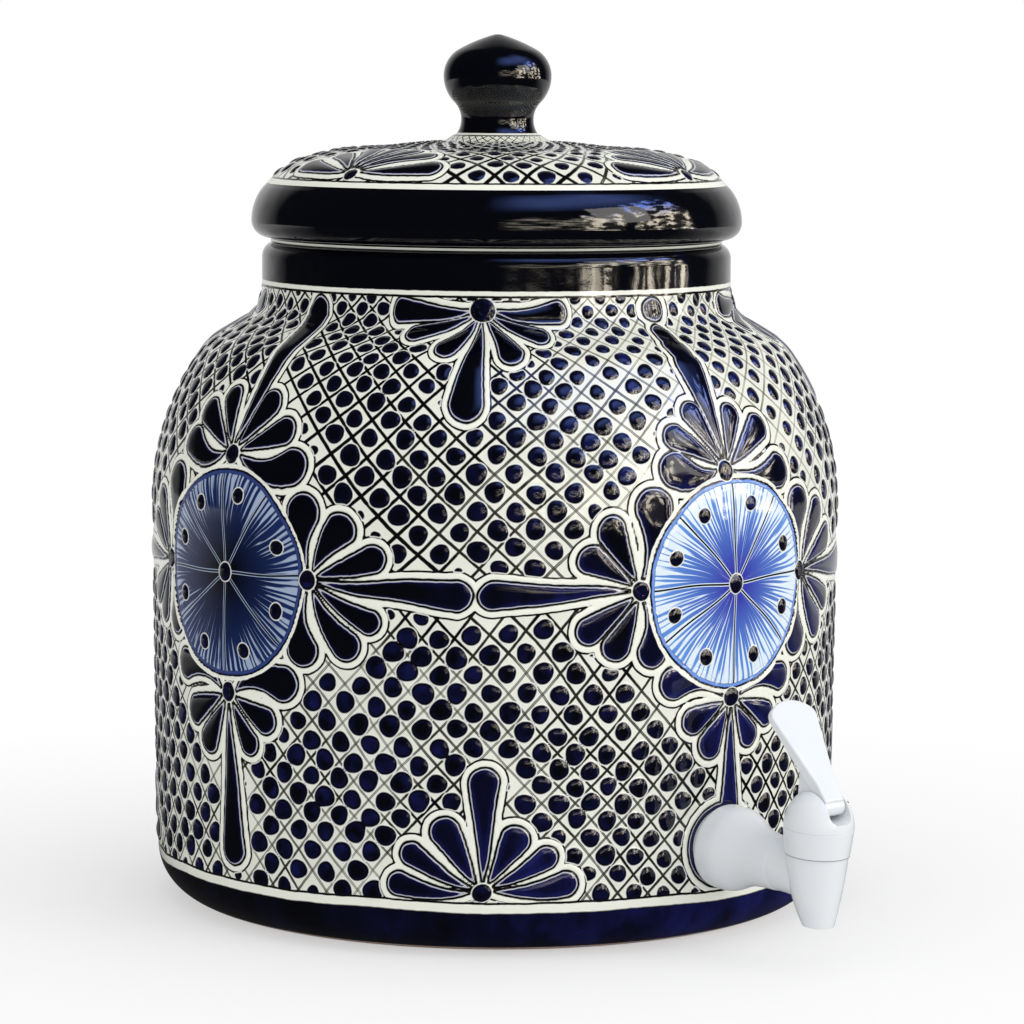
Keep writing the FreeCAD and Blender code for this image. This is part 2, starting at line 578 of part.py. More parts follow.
def lever_slot():
    """U-shaped slot through the dome, open in front and on top and rising out at the back."""
    far = 2 * BONNET_RADIUS
    top = DOME_BASE + DOME_HEIGHT + 1
    rise = math.tan(math.radians(SLOT_BACK_ANGLE))
    back_rise = SLOT_FLOOR + rise * (far - SLOT_BACK)
    side_shape = side_prism([
        (far, SLOT_FLOOR), (-SLOT_BACK, SLOT_FLOOR), (-far, back_rise),
        (-far, back_rise + top), (far, back_rise + top),
    ], SLOT_WIDTH)
    half = SLOT_WIDTH / 2
    upper = side_prism([
        (far, SLOT_FLOOR + SLOT_ROUND), (-far, SLOT_FLOOR + SLOT_ROUND),
        (-far, back_rise + top), (far, back_rise + top),
    ], SLOT_WIDTH)
    middle = side_prism([
        (far, SLOT_FLOOR), (-far, SLOT_FLOOR), (-far, back_rise + top), (far, back_rise + top),
    ], SLOT_WIDTH - 2 * SLOT_ROUND)
    rounds = [
        Part.makeCylinder(
            SLOT_ROUND, 2 * far, Vector(x, -far, SLOT_FLOOR + SLOT_ROUND), Vector(0, 1, 0)
        )
        for x in (SLOT_ROUND - half, half - SLOT_ROUND)
    ]
    return side_shape.common(upper.fuse([middle] + rounds))


def dome_half_chord(forward, height):
    """Half the dome's width across the lever, at a place in its section."""
    level = BONNET_RADIUS * math.sqrt(1 - ((height - DOME_BASE) / DOME_HEIGHT) ** 2)
    return math.sqrt(level ** 2 - forward ** 2)


def tap_bonnet():
    skirt_bore = cylinder(COLLAR_THREAD_RADIUS + THREAD_CLEARANCE, SEAM_HEIGHT, CUP_LEDGE)
    spring_recess = cylinder(SPRING_RECESS_RADIUS, CUP_LEDGE, SPRING_CEILING)
    guide = blade(SPRING_CEILING - 1, SLOT_FLOOR + 1, STEM_PLAY)
    side = dome_half_chord(PIVOT_FORWARD, PIVOT_HEIGHT)
    pin_hole = cross_pin(
        PIVOT_RADIUS + PIN_PRESS, PIVOT_FORWARD, PIVOT_HEIGHT, PIN_COVER - side, side + 1
    )
    shell = bonnet_outside().cut(lever_slot())
    return one_solid(shell.cut(skirt_bore.fuse(spring_recess)).cut(guide).cut(pin_hole))


# ---- tap: lever -----------------------------------------------------------------------------
def on_paddle(along, depth):
    """(forward, height) of a point by its distance from the pivot and behind the front."""
    lean = math.radians(LEVER_LEAN)
    off = PADDLE_OFFSET - depth
    forward = PIVOT_FORWARD - along * math.sin(lean) + off * math.cos(lean)
    height = PIVOT_HEIGHT + along * math.cos(lean) + off * math.sin(lean)
    return (forward, height)


def paddle():
    """Broad blade of the lever: a neck, straight flared sides, a rounded tip and soft edges.

    The corner arcs are tangent to the tip's arc inside it and to the sides.
    """
    def place(across, along):
        forward, height = on_paddle(along, 0)
        return Vector(across, -forward, height)

    def bend(centre, radius, start, end):
        """Arc in the paddle's plane; 0 degrees points along the paddle and 90 degrees across."""
        angles = [math.radians(d) for d in (start, (start + end) / 2, end)]
        return Part.Arc(*[
            place(centre[0] + radius * math.sin(a), centre[1] + radius * math.cos(a))
            for a in angles
        ]).toShape()

    root = LEVER_WIDTH / 2
    flare = math.radians(PADDLE_FLARE)
    tip_centre = PADDLE_LENGTH - PADDLE_TIP_RADIUS
    inner = PADDLE_TIP_RADIUS - PADDLE_CORNER_RADIUS
    room = root * math.cos(flare) + (tip_centre - PADDLE_NECK) * math.sin(flare)
    meet = PADDLE_FLARE + math.degrees(math.asin((room - PADDLE_CORNER_RADIUS) / inner))
    corner = (
        inner * math.sin(math.radians(meet)), tip_centre + inner * math.cos(math.radians(meet))
    )
    side_end = (
        corner[0] + PADDLE_CORNER_RADIUS * math.cos(flare),
        corner[1] - PADDLE_CORNER_RADIUS * math.sin(flare),
    )
    outline = Part.Wire([
        Part.makeLine(place(-root, PADDLE_START), place(-root, PADDLE_NECK)),
        Part.makeLine(place(-root, PADDLE_NECK), place(-side_end[0], side_end[1])),
        bend((-corner[0], corner[1]), PADDLE_CORNER_RADIUS, -90 - PADDLE_FLARE, -meet),
        bend((0, tip_centre), PADDLE_TIP_RADIUS, -meet, meet),
        bend(corner, PADDLE_CORNER_RADIUS, meet, 90 + PADDLE_FLARE),
        Part.makeLine(place(*side_end), place(root, PADDLE_NECK)),
        Part.makeLine(place(root, PADDLE_NECK), place(root, PADDLE_START)),
        Part.makeLine(place(root, PADDLE_START), place(-root, PADDLE_START)),
    ])
    back = Vector(*reversed_normal())
    slab = Part.Face(outline).extrude(back * (2 * PADDLE_ROOT_THICKNESS))
    profile = side_prism([
        on_paddle(PADDLE_START - 1, -1), on_paddle(PADDLE_LENGTH + 1, -1),
        on_paddle(PADDLE_LENGTH + 1, PADDLE_TIP_THICKNESS),
        on_paddle(PADDLE_ROOT_END, PADDLE_ROOT_THICKNESS),
        on_paddle(PADDLE_START - 1, PADDLE_ROOT_THICKNESS),
    ], 4 * PADDLE_TIP_RADIUS)
    solid = slab.common(profile).Solids[0]
    front = place(0, 0)
    soft = [
        edge for edge in solid.Edges
        if all(abs((v.Point - front).dot(back)) < 0.01 for v in edge.Vertexes)
    ]
    return solid.makeFillet(PADDLE_EDGE_ROUND, soft)


def reversed_normal():
    """Direction from the front of the paddle into it."""
    lean = math.radians(LEVER_LEAN)
    return (0, math.cos(lean), -math.sin(lean))


def fork_slot():
    """Room for the stem's blade in the lever, from closed to fully pulled."""
    turn = math.radians(LEVER_TRAVEL)
    half = STEM_WIDTH / 2 + LINK_SWING + TONGUE_PLAY
    width = STEM_THICKNESS + 2 * TONGUE_PLAY
    far = 2 * BONNET_RADIUS
    front_edge = (half * math.cos(turn), LINK_HEIGHT + half * math.sin(turn))
    front_far = (
        front_edge[0] + far * math.sin(turn), front_edge[1] - far * math.cos(turn)
    )
    fan = side_prism([
        (-half, LINK_HEIGHT), (-half, LINK_HEIGHT - far), front_far, front_edge,
    ], width)
    eye = cross_pin(half, 0, LINK_HEIGHT, -width / 2, width / 2)
    return fan.fuse(eye)


def tap_lever():
    """Paddle with its web, the hub on the pivot pin and the fork that holds the link pin."""
    half = LEVER_WIDTH / 2
    web = side_prism([
        on_paddle(PADDLE_START, PADDLE_EDGE_ROUND * 2), on_paddle(WEB_REACH, PADDLE_EDGE_ROUND * 2),
        (-WEB_BACK, PIVOT_HEIGHT + WEB_TOP), (-WEB_BACK, PIVOT_HEIGHT + WEB_FOOT),
        (0, LINK_HEIGHT), (PIVOT_FORWARD, PIVOT_HEIGHT),
    ], LEVER_WIDTH)
    bridge = side_prism([
        (0, LINK_HEIGHT), (0, LINK_HEIGHT - LINK_BOSS_RADIUS),
        (PIVOT_FORWARD, PIVOT_HEIGHT - HUB_RADIUS), (PIVOT_FORWARD, PIVOT_HEIGHT),
    ], FORK_WIDTH)
    hub = cross_pin(HUB_RADIUS, PIVOT_FORWARD, PIVOT_HEIGHT, -half, half)
    boss = cross_pin(LINK_BOSS_RADIUS, 0, LINK_HEIGHT, -FORK_WIDTH / 2, FORK_WIDTH / 2)
    lever = paddle().fuse([web, bridge, hub, boss])
    pivot_hole = cross_pin(PIVOT_RADIUS + PIN_PLAY, PIVOT_FORWARD, PIVOT_HEIGHT, -half - 1, half + 1)
    link_hole = cross_pin(LINK_RADIUS + PIN_PRESS, 0, LINK_HEIGHT, -half - 1, half + 1)
    return one_solid(lever.cut([fork_slot(), pivot_hole, link_hole]))


def pivot_pin():
    """Steel pin pressed into the bonnet from one side; the lever turns on it."""
    side = dome_half_chord(PIVOT_FORWARD, PIVOT_HEIGHT)
    left = PIN_COVER - side + PIN_END_PLAY
    return cross_pin(PIVOT_RADIUS, PIVOT_FORWARD, PIVOT_HEIGHT, left, side - PIN_SINK)


def link_pin():
    """Steel pin through the lever's fork and the eye of the stem."""
    half = FORK_WIDTH / 2 - PIN_END_PLAY
    return cross_pin(LINK_RADIUS, 0, LINK_HEIGHT, -half, half)


# ---- tap: valve -----------------------------------------------------------------------------
def stem_button():
    """Neck and button that snap into the sole of the seat cup."""
    neck = cylinder(STEM_BUTTON_NECK, STEM_FOOT - STEM_BUTTON_DROP, STEM_FOOT)
    low = STEM_FOOT - STEM_BUTTON_DROP - STEM_BUTTON
    button = cylinder(STEM_BUTTON_RADIUS, low, STEM_FOOT - STEM_BUTTON_DROP)
    return neck.fuse(button)


def valve_stem():
    """Blade with the eye for the link pin, the spring's flange and the button."""
    half = STEM_THICKNESS / 2
    round_end = cross_pin(STEM_WIDTH / 2, 0, LINK_HEIGHT, -half, half)
    flange = cylinder(STEM_FLANGE_RADIUS, STEM_FOOT, STEM_FLANGE_TOP)
    stem = blade(STEM_FOOT, LINK_HEIGHT).fuse([round_end, flange, stem_button()])
    eye_radius = LINK_RADIUS + PIN_PLAY
    eye = cross_pin(eye_radius, 0, LINK_HEIGHT, -half - 1, half + 1)
    eye_back = cross_pin(eye_radius, -LINK_SWING, LINK_HEIGHT, -half - 1, half + 1)
    middle = side_prism([
        (0, LINK_HEIGHT - eye_radius), (-LINK_SWING, LINK_HEIGHT - eye_radius),
        (-LINK_SWING, LINK_HEIGHT + eye_radius), (0, LINK_HEIGHT + eye_radius),
    ], STEM_THICKNESS + 2)
    return one_solid(stem.cut(eye.fuse([eye_back, middle])))


def seat_cup():
    """Silicone bell: its sole closes the seat and its rim is gripped under the bonnet."""
    cup = turned_points([
        (0, SEAT_TOP), (CUP_SOLE_RADIUS, SEAT_TOP), (CUP_SOLE_RADIUS, STEM_FOOT),
        (CUP_TOP_RADIUS, COLLAR_TOP), (COLLAR_THREAD_RADIUS - THREAD_CLEARANCE, COLLAR_TOP),
        (COLLAR_THREAD_RADIUS - THREAD_CLEARANCE, CUP_LEDGE),
        (CUP_TOP_RADIUS - CUP_WALL, CUP_LEDGE), (CUP_SOLE_RADIUS - CUP_WALL, STEM_FOOT),
        (0, STEM_FOOT),
    ])
    return one_solid(cup.cut(stem_button()))


def return_spring():
    """Closed-coil compression spring between the stem's flange and the bonnet."""
    low = STEM_FLANGE_TOP + SPRING_SEAT_PLAY + WIRE_RADIUS
    high = SPRING_CEILING - SPRING_SEAT_PLAY - WIRE_RADIUS
    helix = Part.makeHelix((high - low) / SPRING_TURNS, high - low, SPRING_RADIUS)
    helix.translate(Vector(0, 0, low))
    corners = [
        in_section(on_circle((SPRING_RADIUS, low), WIRE_RADIUS, 360 * i / WIRE_SIDES))
        for i in range(WIRE_SIDES)
    ]
    section = Part.makePolygon(corners + corners[:1])
    return Part.Wire(helix).makePipeShell([section], True, True).Solids[0]


# ---- tap: gaskets, washer and nut -----------------------------------------------------------
def ring_along_bore(outer, inner, start, end):
    """Flat ring on the bore axis between two distances from the valve axis."""
    return along_bore(cylinder(outer, start, end).cut(cylinder(inner, start - 1, end + 1)))


WASHER_FACE = HEAD_REACH + OUTER_GASKET + WALL + INNER_GASKET


def outer_gasket(outside):
    """Soft ring squeezed between the flange and the outside of the wall."""
    ring = ring_along_bore(GASKET_RADIUS, GASKET_BORE, HEAD_REACH, HEAD_REACH + WALL)
    return one_solid(fitted(ring).cut(outside))


def inner_gasket(hollow):
    """Soft ring squeezed between the inside of the wall and the washer."""
    ring = ring_along_bore(INNER_GASKET_RADIUS, GASKET_BORE, WASHER_FACE - WALL, WASHER_FACE)
    return one_solid(fitted(ring).common(hollow))


def backing_washer():
    bore = SHANK_RADIUS + THREAD_CLEARANCE
    return ring_along_bore(WASHER_RADIUS, bore, WASHER_FACE, WASHER_FACE + WASHER)


def shank_nut():
    """Hexagonal nut with a flange, chamfered at its free end."""
    start = WASHER_FACE + WASHER
    end = start + NUT_THICKNESS
    corner = NUT_FLATS / math.sqrt(3)
    points = [
        Vector(corner * math.cos(math.radians(a)), corner * math.sin(math.radians(a)), start)
        for a in range(0, 420, 60)
    ]
    hexagon = Part.Face(Part.makePolygon(points)).extrude(Vector(0, 0, NUT_THICKNESS))
    chamfer = Part.makeCone(
        corner + NUT_THICKNESS, corner - NUT_CHAMFER, NUT_THICKNESS + NUT_CHAMFER,
        Vector(0, 0, start - NUT_CHAMFER),
    )
    flange = cylinder(NUT_FLANGE_RADIUS, start, start + NUT_FLANGE)
    nut = hexagon.common(chamfer).fuse(flange)
    return one_solid(along_bore(nut.cut(cylinder(SHANK_RADIUS + THREAD_CLEARANCE, 0, end + 1))))


# ---- all pieces -----------------------------------------------------------------------------
def pieces():
    outside = pot_outside()
    hollow = pot_hollow()
    return {
        "pot_body": pot_body(outside, hollow),
        "lid": lid(),
        "tap_body": fitted(tap_body()),
        "tap_bonnet": fitted(tap_bonnet()),
        "tap_lever": fitted(tap_lever()),
        "pivot_pin": fitted(pivot_pin()),
        "link_pin": fitted(link_pin()),
        "valve_stem": fitted(valve_stem()),
        "seat_cup": fitted(seat_cup()),
        "return_spring": fitted(return_spring()),
        "outer_gasket": outer_gasket(outside),
        "inner_gasket": inner_gasket(hollow),
        "backing_washer": fitted(backing_washer()),
        "shank_nut": fitted(shank_nut()),
    }


os.makedirs("parts", exist_ok=True)
for node, solid in pieces().items():
    solid.exportStep("parts/" + node + ".step")
    print(node, "volume", round(solid.Volume, 1), "valid", solid.isValid())
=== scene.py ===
"""Glazed clay water pot with a lift-off lid and a push-lever tap.

The clay is made of turned surfaces, worked out in millimetres and put into the meshes in metres.
A place on the outside of the pot is a bearing round the axis, in radians from the tap, and a length
along the outline, in millimetres from the foot. The painter's chart unrolls them: across is the
bearing times the belly's radius, up is the length along the outline.
"""
import itertools
import math

import bpy
import numpy as np
from mathutils import Matrix, Vector


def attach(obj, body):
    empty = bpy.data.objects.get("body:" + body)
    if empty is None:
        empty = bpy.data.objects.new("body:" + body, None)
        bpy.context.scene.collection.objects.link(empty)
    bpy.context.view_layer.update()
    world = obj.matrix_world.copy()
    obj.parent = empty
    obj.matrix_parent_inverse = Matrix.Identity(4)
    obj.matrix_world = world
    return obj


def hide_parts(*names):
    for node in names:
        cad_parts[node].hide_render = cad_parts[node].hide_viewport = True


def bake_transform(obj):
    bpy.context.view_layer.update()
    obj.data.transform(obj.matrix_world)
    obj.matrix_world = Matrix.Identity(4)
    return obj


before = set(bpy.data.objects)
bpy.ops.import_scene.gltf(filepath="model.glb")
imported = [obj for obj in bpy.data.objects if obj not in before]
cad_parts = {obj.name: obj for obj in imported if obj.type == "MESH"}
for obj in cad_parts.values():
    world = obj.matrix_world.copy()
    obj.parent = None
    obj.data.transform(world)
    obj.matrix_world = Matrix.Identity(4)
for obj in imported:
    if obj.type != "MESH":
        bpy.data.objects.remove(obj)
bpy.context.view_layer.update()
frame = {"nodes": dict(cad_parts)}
nodes = frame["nodes"]

MM = 0.001
TINY = 1e-6
FULL_TURN = 2 * math.pi

# ---- outline of the pot (mm) ----
BELLY_RADIUS = 155.6
BELLY_HEIGHT = 180.0
SIDE_TAPER = 0.63
BASE_EDGE_RADIUS = 23.0
WALL = 9.5
FLOOR = 11.0
FLOOR_CORNER = 14.0
FOOT_WIDTH = 15.0
FOOT_RECESS = 3.0
SHOULDER_RADIUS = 117.0
SHOULDER_TURN = 35.5
BREAK_RADIUS = 28.0
SLOPE_ANGLE = 59.0
NECK_FILLET = 12.0
COLLAR_RADIUS = 106.3
COLLAR_HEIGHT = 23.5
RIM_ROUND_OUT = 7.0
RIM_CHAMFER = 1.2

# ---- outline of the lid (mm) ----
LID_WALL = 8.5
LID_SEAT_DROP = 1.8
LID_SEAT_WIDTH = 3.0
LID_CLEARANCE = 2.0
LID_RING_DEPTH = 11.0
LID_RING_THICKNESS = 8.0
LID_BAND_OVERHANG = 4.8
LID_BAND_UNDER_ROUND = 7.5
LID_BAND_UPPER_RADIUS = 24.0
LID_BAND_HEIGHT = 22.5
LID_LINE = 1.8
LID_EDGE_RADIUS = 35.0
LID_EDGE_TURN = 36.0
LID_CROWN_RADIUS = 335.0
CROWN_DROP = 2.75           # the crown is this much flatter between its shoulder and the knob
DROP_SPAN = (76.0, 46.0)    # the radii between which it sinks from the shoulder inwards
KNOB_FOOT_SPAN = 25.0       # out to this radius the crown rises again to the knob's foot

# ---- outline of the knob (mm) ----
KNOB_NECK_RADIUS = 16.4
KNOB_NECK_HEIGHT = 6.0
KNOB_HOLLOW_RADIUS = 11.0
KNOB_RADIUS = 24.4
KNOB_WIDEST_HEIGHT = 25.6
KNOB_CAP_RADIUS = 13.8
KNOB_CAP_TURN = 60.5
KNOB_TIP_SLOPE = 16.0
KNOB_TIP_ROUND = 8.0

# ---- the tap's place (mm) ----
TAP_HEIGHT = 43.5
TAP_DROOP = 4.0             # degrees that the tap hangs below level
FLANGE_BACK = 155.706       # the back face of the flange, from the pot's axis
BONNET_SEAM = 9.2           # above the tap's own axis

# ---- the valve's spring (mm) ----
VALVE_REACH = 57.0          # from the back of the flange to the valve's axis
SPRING_LOW = -0.85          # middle of the wire at its lower end, above the tap's own axis
SPRING_HIGH = 20.85
SPRING_RADIUS = 4.25        # middle of the wire
SPRING_TURNS = 6
WIRE_RADIUS = 0.45


# ---- outlines ----
def cosine(degrees):
    return math.cos(math.radians(degrees))


def sine(degrees):
    return math.sin(math.radians(degrees))


def on_circle(centre, radius, degrees):
    """Point (r, z) on a circle; 0 degrees points away from the axis and 90 degrees up."""
    return (centre[0] + radius * cosine(degrees), centre[1] + radius * sine(degrees))


def arc(centre, radius, start, end, step=0.25):
    """Points of an arc, about step apart: centre plus radius times cosine and sine."""
    count = max(3, round(abs(math.radians(end - start)) * radius / step))
    angle = np.radians(np.linspace(start, end, count))
    return np.stack([centre[0] + radius * np.cos(angle), centre[1] + radius * np.sin(angle)], -1)


def line(a, b, step=0.5):
    """Points of a straight run, about step apart: the first end plus a share of the way."""
    count = max(2, round(math.dist(a, b) / step))
    return np.linspace(a, b, count)


def lines(*corners):
    """Straight runs from corner to corner."""
    return np.concatenate([line(a, b) for a, b in zip(corners, corners[1:])])


def joined(*runs):
    """One outline of the runs in order, without the doubled points where they meet."""
    points = np.concatenate(runs)
    apart = np.hypot(*np.diff(points, axis=0).T) > TINY
    return points[np.concatenate([[True], apart])]


def smooth(value, low, high):
    """From 0 at low to 1 at high, level at both ends: three squares less two cubes of the way."""
    way = np.clip((value - low) / (high - low), 0, 1)
    return way * way * (3 - 2 * way)


def lengths(outline):
    """Length along an outline to each of its points: the running sum of its steps."""
    return np.concatenate([[0], np.cumsum(np.hypot(*np.diff(outline, axis=0).T))])


def wall_radius(height, inset=0.0):
    top = on_circle(SHOULDER_CENTRE, SHOULDER_RADIUS - inset, -SIDE_TAPER)
    return top[0] - (top[1] - height) * math.tan(math.radians(SIDE_TAPER))


def corner_arc(low, radius, inset=0.0):
    """Arc from a level bottom at a height into the side wall, with its centre and upper end."""
    height = low + radius * (1 - sine(SIDE_TAPER))
    end = (wall_radius(height, inset), height)
    centre = (end[0] - radius * cosine(SIDE_TAPER), low + radius)
    return arc(centre, radius, -90, -SIDE_TAPER), centre, end


def side_outline(inset, foot, top):
    """Side, shoulder, neck and collar, inset from the outside, from a point up to a height."""
    wall_top = on_circle(SHOULDER_CENTRE, SHOULDER_RADIUS - inset, -SIDE_TAPER)
    slope_start = on_circle(BREAK_CENTRE, BREAK_RADIUS - inset, SLOPE_ANGLE)
    slope_end = on_circle(NECK_CENTRE, -NECK_FILLET - inset, SLOPE_ANGLE)
    collar = COLLAR_RADIUS - inset
    return [
        line(foot, wall_top),
        arc(SHOULDER_CENTRE, SHOULDER_RADIUS - inset, -SIDE_TAPER, SHOULDER_TURN),
        arc(BREAK_CENTRE, BREAK_RADIUS - inset, SHOULDER_TURN, SLOPE_ANGLE),
        line(slope_start, slope_end),
        arc(NECK_CENTRE, -NECK_FILLET - inset, SLOPE_ANGLE, 0),
        line((collar, NECK_HEIGHT), (collar, top)),
    ]


SHOULDER_CENTRE = (BELLY_RADIUS - SHOULDER_RADIUS, BELLY_HEIGHT)
SHOULDER_END = on_circle(SHOULDER_CENTRE, SHOULDER_RADIUS, SHOULDER_TURN)
BREAK_CENTRE = on_circle(SHOULDER_END, -BREAK_RADIUS, SHOULDER_TURN)
BREAK_END = on_circle(BREAK_CENTRE, BREAK_RADIUS, SLOPE_ANGLE)
SLOPE_END_RADIUS = COLLAR_RADIUS + NECK_FILLET * (1 - cosine(SLOPE_ANGLE))
SLOPE_RISE = (BREAK_END[0] - SLOPE_END_RADIUS) / math.tan(math.radians(SLOPE_ANGLE))
NECK_HEIGHT = BREAK_END[1] + SLOPE_RISE + NECK_FILLET * sine(SLOPE_ANGLE)
NECK_CENTRE = (COLLAR_RADIUS + NECK_FILLET, NECK_HEIGHT)
RIM_HEIGHT = NECK_HEIGHT + COLLAR_HEIGHT
COLLAR_BORE = COLLAR_RADIUS - WALL

BASE_EDGE, EDGE_CENTRE, EDGE_END = corner_arc(0, BASE_EDGE_RADIUS)
RIM_CENTRE = (COLLAR_RADIUS - RIM_ROUND_OUT, RIM_HEIGHT - RIM_ROUND_OUT)
OUTSIDE = joined(BASE_EDGE, *side_outline(0.0, EDGE_END, RIM_CENTRE[1]))
OUTSIDE_LENGTH = lengths(OUTSIDE)


def inside_outline():
    """From the middle of the rim's top over the bevel and down the inside to the floor's centre."""
    floor_corner, corner_centre, corner_end = corner_arc(FLOOR, FLOOR_CORNER, WALL)
    bevel_foot = (COLLAR_BORE, RIM_HEIGHT - RIM_CHAMFER)
    lip = (COLLAR_BORE + RIM_CHAMFER, RIM_HEIGHT)
    upward = side_outline(WALL, corner_end, bevel_foot[1])
    wall = joined(line((0, FLOOR), (corner_centre[0], FLOOR), 6.0), floor_corner, *upward)
    wall = np.concatenate([wall[:-1:4], wall[-1:]])       # the plain inside needs fewer rings
    return joined(lines((RIM_CENTRE[0], RIM_HEIGHT), lip, bevel_foot), wall[::-1])


def stretch(start, end):
    """The outside's outline from one length along it to another, both ends included."""
    between = (OUTSIDE_LENGTH > start) & (OUTSIDE_LENGTH < end)
    place = np.concatenate([[start], OUTSIDE_LENGTH[between], [end]])
    return np.stack([np.interp(place, OUTSIDE_LENGTH, OUTSIDE[:, axis]) for axis in (0, 1)], -1)


def foot_outline(top_length):
    """From the centre of the foot's recess, over the foot ring and up the base edge."""
    foot_inner = EDGE_CENTRE[0] - FOOT_WIDTH
    recess_edge = (foot_inner - FOOT_RECESS, FOOT_RECESS)
    return joined(
        line((0, FOOT_RECESS), recess_edge, 6.0),
        lines(recess_edge, (foot_inner, 0), (EDGE_CENTRE[0], 0)), stretch(0.0, top_length))


# ---- the lid's outline ----
LID_UNDER = RIM_HEIGHT + LID_SEAT_DROP
SEAT_LINE = RIM_HEIGHT + 1.0      # the band's glaze starts here on the seat's step
SEAT_RADIUS = COLLAR_RADIUS - RIM_ROUND_OUT + LID_SEAT_WIDTH
BAND_RADIUS = COLLAR_RADIUS + LID_BAND_OVERHANG
BAND_WIDEST = LID_UNDER + LID_BAND_UNDER_ROUND
BAND_CENTRE = (BAND_RADIUS - LID_BAND_UPPER_RADIUS, BAND_WIDEST)
BAND_TURN = math.degrees(math.asin(
    (LID_BAND_HEIGHT - LID_BAND_UNDER_ROUND) / LID_BAND_UPPER_RADIUS))
BAND_TOP = on_circle(BAND_CENTRE, LID_BAND_UPPER_RADIUS, BAND_TURN)
DOME_FOOT = (BAND_TOP[0] - LID_LINE, BAND_TOP[1] + LID_LINE)


def dome_centres():
    """Centres of the crown and of its shoulder, and the angle at which the two arcs meet."""
    turn = math.radians(LID_EDGE_TURN)
    along = LID_CROWN_RADIUS - LID_EDGE_RADIUS + LID_EDGE_RADIUS * math.cos(turn)
    across = LID_EDGE_RADIUS * math.sin(turn)
    meet = math.asin(DOME_FOOT[0] / math.hypot(along, across)) - math.atan2(across, along)
    edge_height = DOME_FOOT[1] - LID_EDGE_RADIUS * math.cos(meet + turn)
    inner = LID_CROWN_RADIUS - LID_EDGE_RADIUS
    edge_centre = (inner * math.sin(meet), edge_height)
    crown_centre = (0, edge_height - inner * math.cos(meet))
    return crown_centre, edge_centre, 90 - math.degrees(meet)


CROWN_CENTRE, LID_EDGE_CENTRE, DOME_MEET = dome_centres()
CROWN_HEIGHT = CROWN_CENTRE[1] + LID_CROWN_RADIUS


def knob_outline():
    """Hollow neck, bulb and blunt tip, tangent arc after arc, from the crown up to the axis."""
    grow = KNOB_RADIUS - KNOB_NECK_RADIUS
    rise = KNOB_WIDEST_HEIGHT - KNOB_NECK_HEIGHT
    turn = 2 * math.degrees(math.atan2(grow, rise))
    bulb_radius = rise / sine(turn) - KNOB_HOLLOW_RADIUS
    widest = CROWN_HEIGHT + KNOB_WIDEST_HEIGHT
    hollow_centre = (KNOB_NECK_RADIUS + KNOB_HOLLOW_RADIUS, CROWN_HEIGHT + KNOB_NECK_HEIGHT)
    bulb_centre = (KNOB_RADIUS - bulb_radius, widest)
    cap_centre = (KNOB_RADIUS - KNOB_CAP_RADIUS, widest)
    cap_end = on_circle(cap_centre, KNOB_CAP_RADIUS, KNOB_CAP_TURN)
    tip_angle = 90 - KNOB_TIP_SLOPE
    run = cap_end[0] - KNOB_TIP_ROUND * cosine(tip_angle)
    across = cosine(KNOB_CAP_TURN) - cosine(tip_angle)
    slope_centre = on_circle(cap_end, -run / across, KNOB_CAP_TURN)
    slope_end = on_circle(slope_centre, run / across, tip_angle)
    tip_centre = on_circle(slope_end, -KNOB_TIP_ROUND, tip_angle)
    foot_turn = math.degrees(math.asin(KNOB_NECK_HEIGHT / KNOB_HOLLOW_RADIUS))
    return joined(
        arc(hollow_centre, KNOB_HOLLOW_RADIUS, 180 + foot_turn, 180 - turn),
        arc(bulb_centre, bulb_radius, -turn, 0),
        arc(cap_centre, KNOB_CAP_RADIUS, 0, KNOB_CAP_TURN),
        arc(slope_centre, run / across, KNOB_CAP_TURN, tip_angle),
        arc(tip_centre, KNOB_TIP_ROUND, tip_angle, 90),
    )


KNOB = knob_outline()
DOME = joined(
    arc(LID_EDGE_CENTRE, LID_EDGE_RADIUS, DOME_MEET - LID_EDGE_TURN, DOME_MEET),
    arc(CROWN_CENTRE, LID_CROWN_RADIUS, DOME_MEET, 90),
)
DOME = joined(DOME[DOME[:, 0] > KNOB[0, 0]], KNOB[:1])
DOME[:, 1] -= CROWN_DROP * smooth(DOME[:, 0], *DROP_SPAN) * smooth(
    DOME[:, 0], KNOB[0, 0], KNOB_FOOT_SPAN)
DOME_LENGTH = lengths(DOME)
LID_MIDDLE = DOME_LENGTH[-1] + KNOB[0, 0]


def band_outline():
    """From the seat under the band, round the band and up to the foot of the dome."""
    under_centre = (BAND_RADIUS - LID_BAND_UNDER_ROUND, BAND_WIDEST)
    return joined(
        lines((SEAT_RADIUS, SEAT_LINE), (SEAT_RADIUS, LID_UNDER), (under_centre[0], LID_UNDER)),
        arc(under_centre, LID_BAND_UNDER_ROUND, -90, 0),
        arc(BAND_CENTRE, LID_BAND_UPPER_RADIUS, 0, BAND_TURN), line(BAND_TOP, DOME_FOOT))


